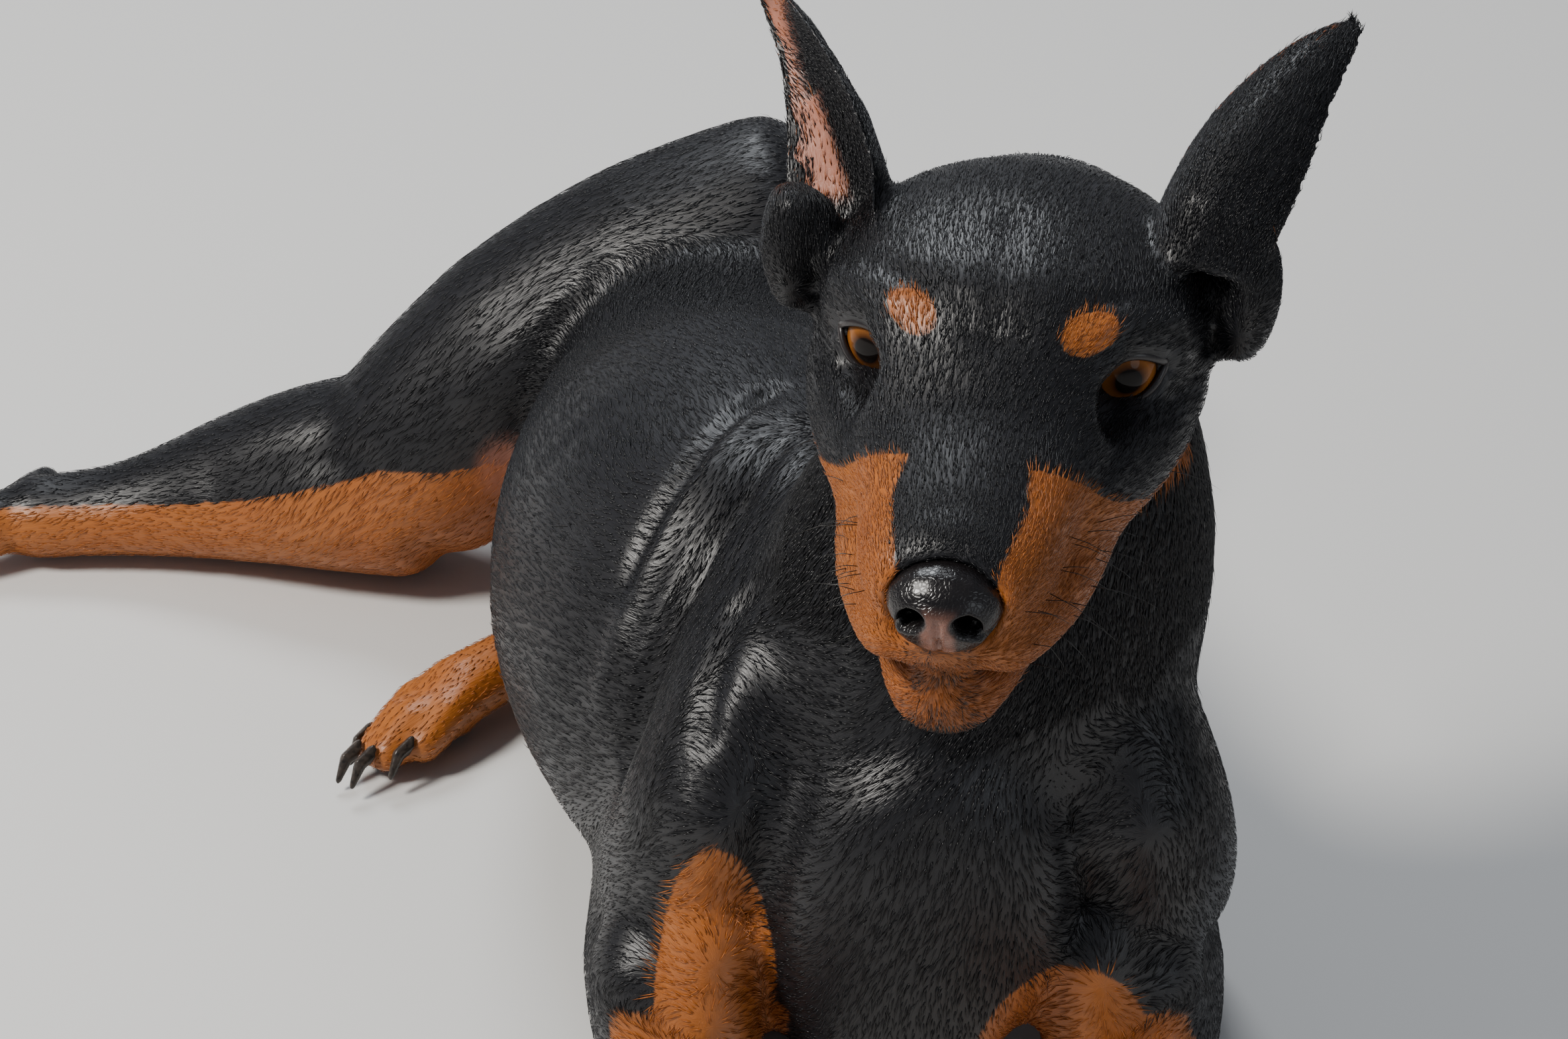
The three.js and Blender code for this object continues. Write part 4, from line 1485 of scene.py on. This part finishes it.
COAT_PATCHES: tuple[CoatPatch, ...] = (
    CoatPatch("coat_face", ("muzzle", "jaw", "lips"), 3.6, 0.19),
    CoatPatch("coat_skull", ("skull", "right_cheek", "left_cheek"), 3.0, 0.21),
    CoatPatch("coat_ears", ("right_ear", "left_ear"), 3.0, 0.21),
    CoatPatch("coat_neck", ("neck", "nape", "throat"), 1.8, 0.27),
    CoatPatch("coat_chest", ("chest",), 1.3, 0.29),
    CoatPatch("coat_belly", ("belly",), 1.2, 0.29),
    CoatPatch("coat_rump", ("rump", "tail"), 1.3, 0.29),
    CoatPatch(
        "coat_forelegs",
        (
            "right_upper_arm",
            "left_upper_arm",
            "right_forearm",
            "left_forearm",
            "right_front_paw",
            "left_front_paw",
        ),
        1.3,
        0.25,
    ),
    CoatPatch(
        "coat_hindlegs",
        ("right_thigh", "right_shank", "right_hind_paw", "left_thigh", "left_shank", "left_hind_paw"),
        1.1,
        0.27,
    ),
)


class SkinLookup:
    """Finds the place on the skin nearest to any point."""

    def __init__(self, surface: Surface, normals: np.ndarray) -> None:
        """Sorts the skin's points for quick search.

        Args:
            surface: the skin.
            normals: the direction that it faces at each point.
        """
        self.points = surface.points
        self.normals = normals
        self.tree = KDTree(len(surface.points))
        for number, place in enumerate(surface.points):
            self.tree.insert(place, number)
        self.tree.balance()

    def nearest(self, places: np.ndarray) -> np.ndarray:
        """The number of the skin point nearest to each place."""
        find = self.tree.find
        return np.fromiter((find(place)[1] for place in places), dtype=np.int64, count=len(places))

    def at_height(self, places: np.ndarray, height: np.ndarray) -> np.ndarray:
        """Places moved to a height above the skin.

        Args:
            places: the places to move.
            height: the height wanted for each.

        Returns:
            The moved places.
        """
        near = self.nearest(places)
        normal = self.normals[near]
        above = ((places - self.points[near]) * normal).sum(1)
        return places + normal * (height - above)[:, None]


@dataclass
class Coat:
    """Short flat tufts over the whole skin, each a slim closed spindle that follows the lie of the coat."""

    hide: Hide
    seed: int = 7
    atlas_columns: int = 6
    tile_edge: float = 0.01
    patch_size: float = 0.003
    turn_spread: float = 9.0
    length_range: tuple[float, float] = (0.72, 1.2)
    rise_range: tuple[float, float] = (0.4, 1.3)
    width_range: tuple[float, float] = (0.7, 1.25)
    stray_from: float = 0.985
    stray_lift: float = 2.6
    middle_share: float = 0.42
    root_depth: float = 0.3
    highest_tip: float = 1.6
    lowest: float = 0.15

    def __post_init__(self) -> None:
        """Takes over the skin's lie and markings for all the pieces."""
        self.surface, self.normals, self.lie = self.hide.surface, self.hide.normals, self.hide.lie
        self.tan, self.bare, self.leather = self.hide.tan, self.hide.bare, self.hide.leather
        points = self.surface.points
        self.look = SkinLookup(self.surface, self.normals)
        self.growth = self.grown_share(points)
        self.length = np.array([bone.hair for bone in BONES])[self.lie.bone]
        self.dense = np.array([bone.dense for bone in BONES])[self.lie.bone]
        self.rise = np.array([bone.rise for bone in BONES])[self.lie.bone]
        self.rows = math.ceil(len(BONES) / self.atlas_columns)

    def grown_share(self, points: np.ndarray) -> np.ndarray:
        """Where hair grows: not on the eyes, pads, the nose's edge or where the body rests, and only thinly on bare
        skin.

        Args:
            points: the skin's points.

        Returns:
            The share of the usual number of tufts at each point.
        """
        head = HEAD.to_head(points)
        share = 1.0 - smooth_step(self.bare, 0.2, 0.9) * 0.9
        share *= 1.0 - smooth_step(self.leather, 0.2, 0.6)
        for side in Side:
            eye = Eye(side)
            away = np.linalg.norm(head - eye.centre(), axis=1)
            line = eye.opening()
            distance, _, _ = line_distance(head, np.concatenate([line, line[:1]]))
            share *= np.where(away < 18.0, smooth_step(distance, 1.5, 2.6), 1.0)
            inside = (head - eye.centre()) @ eye.axis() > 0.78 * EYE_RADIUS
            share *= np.where(inside & (away < 14.0) & (distance < 6.0), smooth_step(distance, 1.5, 2.6), 1.0)
        nose_gap = np.linalg.norm((head - (0, -65.5, -11.0)) / (11.8, 10.5, 10.6), axis=1)
        share *= smooth_step(nose_gap, 0.98, 1.04)
        share *= smooth_step(points[:, 2], 0.6, 1.4)
        return share

    def atlas(self, points: np.ndarray, bones: np.ndarray, shares: np.ndarray) -> np.ndarray:
        """Where places lie on the unwrapped skin: a tile for each stretch of the body, cut along its underside.

        Args:
            points: the places.
            bones: the number of the stretch that each belongs to.
            shares: how far along that stretch each lies.

        Returns:
            A place from 0 to 1 across and up for each.
        """
        made = np.zeros((len(points), 2))
        for number, bone in enumerate(BONES):
            chosen = bones == number
            if not chosen.any():
                continue
            line = bone.points()
            axis = unit(line[-1] - line[0])
            out = unit(np.cross(axis, (0.0, 0.0, 1.0) if abs(axis[2]) < 0.9 else (0.0, 1.0, 0.0)))
            up = np.cross(out, axis)
            spot = points[chosen] - line[0] - (shares[chosen] * np.linalg.norm(line[-1] - line[0]))[:, None] * axis
            turn = np.arctan2(spot @ out, spot @ up) / (2 * math.pi) + 0.5
            run = (points[chosen] - line[0]) @ axis / np.linalg.norm(line[-1] - line[0])
            run = np.clip((run + 0.35) / 1.7, 0.0, 1.0)
            column, row = number % self.atlas_columns, number // self.atlas_columns
            edge = self.tile_edge
            made[chosen, 0] = (column + edge * 6 + turn * (1 - 12 * edge)) / self.atlas_columns
            made[chosen, 1] = (row + edge * 5 + run * (1 - 10 * edge)) / self.rows
        return made

    def roots(self, patch: CoatPatch, rng: np.random.Generator) -> tuple[np.ndarray, np.ndarray]:
        """Spreads tufts evenly over the faces of a patch.

        Args:
            patch: the piece of coat.
            rng: the source of chance.

        Returns:
            The place of each root, and the number of the skin point nearest to it.
        """
        faces = self.surface.faces
        numbers = [index for index, bone in enumerate(BONES) if bone.name in patch.bones]
        owned = np.isin(self.lie.bone[faces[:, 0]], numbers)
        faces = faces[owned]
        a, b, c = (self.surface.points[faces[:, i]] for i in range(3))
        area = np.linalg.norm(np.cross(b - a, c - a), axis=1) / 2
        weight = area * (self.growth * self.dense)[faces].mean(1) * patch.density
        total = np.cumsum(weight)
        count = int(min(total[-1], patch.most))
        steps = (np.arange(count) + rng.random(count)) * total[-1] / count
        chosen = np.searchsorted(total, steps).clip(0, len(faces) - 1)
        u, v = rng.random(count), rng.random(count)
        flip = u + v > 1
        u[flip], v[flip] = 1 - u[flip], 1 - v[flip]
        places = a[chosen] + u[:, None] * (b - a)[chosen] + v[:, None] * (c - a)[chosen]
        return places, faces[chosen, 0]

    def piece(self, patch: CoatPatch, material: bpy.types.Material, number: int) -> bpy.types.Object:
        """Grows one piece of the coat.

        Args:
            patch: the piece of coat.
            material: the hairs' finish.
            number: the piece's place in the list, which sets its chances.

        Returns:
            The piece.
        """
        rng = np.random.default_rng(self.seed + number)
        root, at = self.roots(patch, rng)
        count = len(root)
        normal = self.normals[at]
        lie = unit(self.lie.direction[at] + self.sway(root))
        turn = np.radians(rng.normal(0.0, self.turn_spread, count))
        side = np.cross(normal, lie)
        along = unit(np.cos(turn)[:, None] * lie + np.sin(turn)[:, None] * side)
        across = unit(np.cross(normal, along))
        length = self.length[at] * rng.uniform(*self.length_range, count)
        own = rng.random(count)
        lift = np.tan(np.radians(self.rise[at] * rng.uniform(*self.rise_range, count)))
        stray = rng.random(count) > self.stray_from
        lift = np.where(stray, lift * self.stray_lift, lift)
        halfway = root + along * (self.middle_share * length)[:, None]
        middle = self.look.at_height(halfway, 0.12 + 0.3 * lift * length)
        tip_height = np.minimum(0.16 + 0.62 * lift * length, self.highest_tip)
        tip = self.look.at_height(root + along * length[:, None], tip_height)
        wide = patch.width * rng.uniform(*self.width_range, count)[:, None]
        start = root - normal * self.root_depth
        left, right = middle - across * wide / 2, middle + across * wide / 2
        ridge = middle + normal * (0.42 * wide)
        points = np.stack([start, left, right, ridge, tip], 1).reshape(-1, 3)
        points[:, 2] = np.maximum(points[:, 2], self.lowest)
        corner = np.array([(0, 3, 1), (0, 2, 3), (0, 1, 2), (1, 3, 4), (3, 2, 4), (2, 1, 4)])
        faces = (np.arange(count)[:, None, None] * 5 + corner).reshape(-1, 3)
        made = Surface(points, faces).to_object(patch.name)
        put_values(made, "tan", np.repeat(np.maximum(self.tan[at], 1.2 * self.bare[at]), 5))
        put_values(made, "bare", np.repeat(self.bare[at], 5))
        put_values(made, "own", np.repeat(own, 5))
        self.unwrap(made, faces, self.atlas(root, self.lie.bone[at], self.lie.share[at]))
        made.data.materials.append(material)
        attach(made, "root")
        return made

    def sway(self, places: np.ndarray) -> np.ndarray:
        """A slow wander of the lie, and the whorl on the left side of the chest.

        Args:
            places: the places asked about.

        Returns:
            What to add to the lie at each.
        """
        x, y, z = (places / 11.0).T
        wander = np.stack(
            [
                np.sin(0.9 * y + 1.3 * z + 0.4),
                np.sin(1.1 * z - 0.8 * x + 1.9),
                np.sin(1.2 * x + 0.7 * y + 3.1),
            ],
            axis=1,
        )
        whorl = places - np.array((41.0, -24.0, 90.0))
        near = np.exp(-((np.linalg.norm(whorl, axis=1) / 16.0) ** 2))
        curl = unit(np.cross(whorl, (0.3, -0.9, 0.3)) + 0.6 * whorl)
        return 0.16 * wander + 1.6 * near[:, None] * curl

    def unwrap(self, made: bpy.types.Object, faces: np.ndarray, places: np.ndarray) -> None:
        """Gives each tuft its own small patch of the unwrapped skin.

        Args:
            made: the piece of coat.
            faces: its faces, five points to a tuft.
            places: where each tuft's root lies on the unwrapped skin.
        """
        corners = np.array([(-0.5, 0.0), (0.0, -0.5), (0.0, 0.5), (0.1, 0.0), (0.5, 0.0)]) * self.patch_size
        flat = faces.ravel()
        values = places[flat // 5] + corners[flat % 5]
        layer = made.data.uv_layers.new(name="OFBake")
        layer.data.foreach_set("uv", np.ascontiguousarray(values, dtype=np.float32).ravel())

    def dress(self) -> list[bpy.types.Object]:
        """Grows every piece of the coat.

        Returns:
            The pieces.
        """
        material = HairFinish().make()
        made = []
        for number, patch in enumerate(COAT_PATCHES):
            piece = self.piece(patch, material, number)
            LOG.info("%s: %d faces", piece.name, len(piece.data.polygons))
            made.append(piece)
        return made


@dataclass
class Whiskers:
    """Stiff single hairs of the muzzle, cheeks, chin and brows, each a long thin closed spindle."""

    thickness: float = 0.11
    seed: int = 3
    scatter: float = 1.8
    sway: float = 0.26
    sag: float = 0.2

    def starts(self, rng: np.random.Generator) -> list[tuple[np.ndarray, np.ndarray, float]]:
        """Each hair's root, its direction in the head's frame, and its length.

        Args:
            rng: the source of chance.

        Returns:
            One entry for each hair.
        """
        made = []
        for side in Side:
            hand = side.value
            for row in range(4):
                for step in range(5):
                    root = np.array([(15.5 + 1.6 * step) * hand, -56.0 + 6.0 * step, -12.5 - 3.6 * row])
                    way = np.array([0.9 * hand, 0.15 + 0.12 * step, -0.35 - 0.1 * row])
                    made.append((root, way, rng.uniform(8.0, 16.0)))
            for step in range(3):
                root = np.array([(13.0 + 2.2 * step) * hand, -5.0 + 1.5 * step, 17.0])
                made.append((root, np.array([0.45 * hand, -0.2, 0.9]), rng.uniform(8.0, 13.0)))
            made.append((np.array([33.0 * hand, -2.0, -18.0]), np.array([0.8 * hand, 0.3, -0.3]), 15.0))
        for step in range(6):
            root = np.array([-7.5 + 3.0 * step, -61.0, -38.0])
            made.append((root, np.array([0.15 * (step - 2.5), -0.6, -0.7]), rng.uniform(4.0, 8.0)))
        return made

    def build(self, hide: Hide) -> bpy.types.Object:
        """Grows the whiskers out of the skin.

        Args:
            hide: the skin.

        Returns:
            The whiskers, as one piece.
        """
        rng = np.random.default_rng(self.seed)
        points, faces = [], []
        for root, way, length in self.starts(rng):
            place = HEAD.to_row(root[None] + rng.normal(0, self.scatter, (1, 3)))[0]
            near = int(np.argmin(((hide.surface.points - place) ** 2).sum(1)))
            start, normal = hide.surface.points[near], hide.normals[near]
            way = unit(HEAD.row_direction(way) + 0.35 * normal + rng.normal(0, self.sway, 3))
            length *= rng.uniform(0.6, 1.2)
            sag = np.array([0.0, 0.0, -self.sag * length])
            places = [start - 0.4 * normal, start + way * length * 0.35, start + way * length * 0.7 + 0.35 * sag]
            places.append(start + way * length + sag)
            first = len(points)
            a = unit(np.cross(way, (0.1, 0.2, 1.0)))
            b = np.cross(way, a)
            for place, share in zip(places[:3], (1.0, 0.85, 0.5)):
                for turn in (0.0, 2.1, 4.2):
                    points.append(place + self.thickness * share * (math.cos(turn) * a + math.sin(turn) * b))
            points.append(places[3])
            for ring in range(2):
                for k in range(3):
                    p, q = first + 3 * ring + k, first + 3 * ring + (k + 1) % 3
                    faces += [(p, p + 3, q), (q, p + 3, q + 3)]
            for k in range(3):
                faces.append((first + 6 + k, first + 9, first + 6 + (k + 1) % 3))
            faces.append((first, first + 1, first + 2))
        made = Surface(np.array(points), np.array(faces)).to_object("whiskers")
        material, _, shader = new_material("whisker")
        shader.inputs["Base Color"].default_value = (0.01, 0.009, 0.008, 1.0)
        shader.inputs["Roughness"].default_value = 0.35
        made.data.materials.append(material)
        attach(made, "root")
        return made


@dataclass
class Claws:
    """The sixteen claws, rounded and tapered."""

    pitch: float = 0.32
    rounds: int = 6

    def build(self) -> list[bpy.types.Object]:
        """Makes each claw from its solid.

        Returns:
            The claws.
        """
        material = HornFinish().make()
        made = []
        for name in (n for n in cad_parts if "_claw_" in n):
            surface = fused(node_surface(name), self.pitch)
            surface = surface.smoothed(np.full(len(surface.points), 0.5), self.rounds)
            claw = surface.to_object(f"{name}_horn")
            claw.data.materials.append(material)
            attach(claw, "root")
            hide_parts(name)
            made.append(claw)
        return made


@dataclass
class Studio:
    """Pale floor, soft light and the camera at the photo's angle."""

    camera_place: Point = (-24.0, -654.0, 533.0)
    camera_pitch: float = 59.0
    lens: float = 85.17
    sensor: float = 36.0
    floor_half: float = 6.0
    floor_colours: tuple[Colour, Colour] = ((0.66, 0.655, 0.64), (0.72, 0.715, 0.7))
    surround_colour: Colour = (0.86, 0.9, 1.0)
    surround_strength: float = 0.26
    # each lamp's name, place, aim, size, power and colour
    lamps: tuple[tuple[str, Point, Point, float, float, Colour], ...] = (
        ("key", (-1.0, -0.3, 1.25), (0.0, 0.0, 0.12), 0.42, 30.0, (1.0, 0.96, 0.9)),
        ("top", (-0.25, 1.15, 1.35), (-0.05, 0.1, 0.05), 0.6, 13.0, (0.92, 0.96, 1.0)),
        ("fill", (1.3, -1.1, 0.7), (0.0, 0.0, 0.1), 0.9, 3.2, (0.88, 0.94, 1.0)),
    )

    def floor(self) -> bpy.types.Object:
        """The floor, far larger than the view.

        Returns:
            The floor.
        """
        h = self.floor_half / MM
        corners = np.array([(-h, -h, 0), (h, -h, 0), (h, h, 0), (-h, h, 0)], float)
        floor = Surface(corners, np.array([(0, 1, 2), (0, 2, 3)])).to_object("studio_floor")
        material, board, shader = new_material("studio_floor")
        place = board.add("ShaderNodeTexCoord").outputs["Object"]
        cloud = board.add("ShaderNodeTexNoise", Vector=place, Scale=1.6, Detail=3.0).outputs["Fac"]
        board.tree.links.new(board.mix(cloud, *self.floor_colours), shader.inputs["Base Color"])
        shader.inputs["Roughness"].default_value = 0.75
        floor.data.materials.append(material)
        return floor

    def light(self) -> None:
        """Three large soft lamps and an even pale surround."""
        for name, place, aim, size, power, colour in self.lamps:
            data = bpy.data.lights.new(name, "AREA")
            data.shape = "DISK"
            data.size, data.energy, data.color = size, power, colour
            lamp = bpy.data.objects.new(name, data)
            lamp.location = place
            lamp.rotation_euler = (Vector(aim) - Vector(place)).to_track_quat("-Z", "Y").to_euler()
            bpy.context.scene.collection.objects.link(lamp)
        world = bpy.data.worlds.new("surround")
        world.use_nodes = True
        surround = world.node_tree.nodes["Background"]
        surround.inputs["Color"].default_value = (*self.surround_colour, 1.0)
        surround.inputs["Strength"].default_value = self.surround_strength
        bpy.context.scene.world = world

    def camera(self) -> None:
        """The camera, with the photo's framing."""
        data = bpy.data.cameras.new("camera")
        data.lens, data.sensor_width = self.lens, self.sensor
        data.clip_start, data.clip_end = 0.01, 50.0
        camera = bpy.data.objects.new("camera", data)
        camera.location = tuple(v * MM for v in self.camera_place)
        camera.rotation_euler = (math.radians(self.camera_pitch), 0.0, 0.0)
        bpy.context.scene.collection.objects.link(camera)
        bpy.context.scene.camera = camera


def main() -> None:
    """Builds and dresses the dog and its studio."""
    logging.basicConfig(level=logging.INFO, format="%(name)s: %(message)s")
    studio = Studio()
    studio.floor()
    studio.light()
    studio.camera()
    skin, hide = Skin().build()
    LOG.info("skin: %d faces", len(skin.data.polygons))
    nose = Nose().build()
    LOG.info("nose: %d faces", len(nose.data.polygons))
    eye_finish, lid_finish = EyeFinish().make(), LidFinish().make()
    for side in Side:
        eye = Eye(side)
        for piece in (eye.ball(eye_finish), eye.rim(lid_finish)):
            LOG.info("%s: %d faces", piece.name, len(piece.data.polygons))
    claws = Claws().build()
    LOG.info("claws: %d", len(claws))
    whiskers = Whiskers().build(hide)
    LOG.info("whiskers: %d faces", len(whiskers.data.polygons))
    coat = Coat(hide).dress()
    LOG.info("coat: %d pieces", len(coat))
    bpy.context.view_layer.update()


if __name__ == "__main__":
    main()
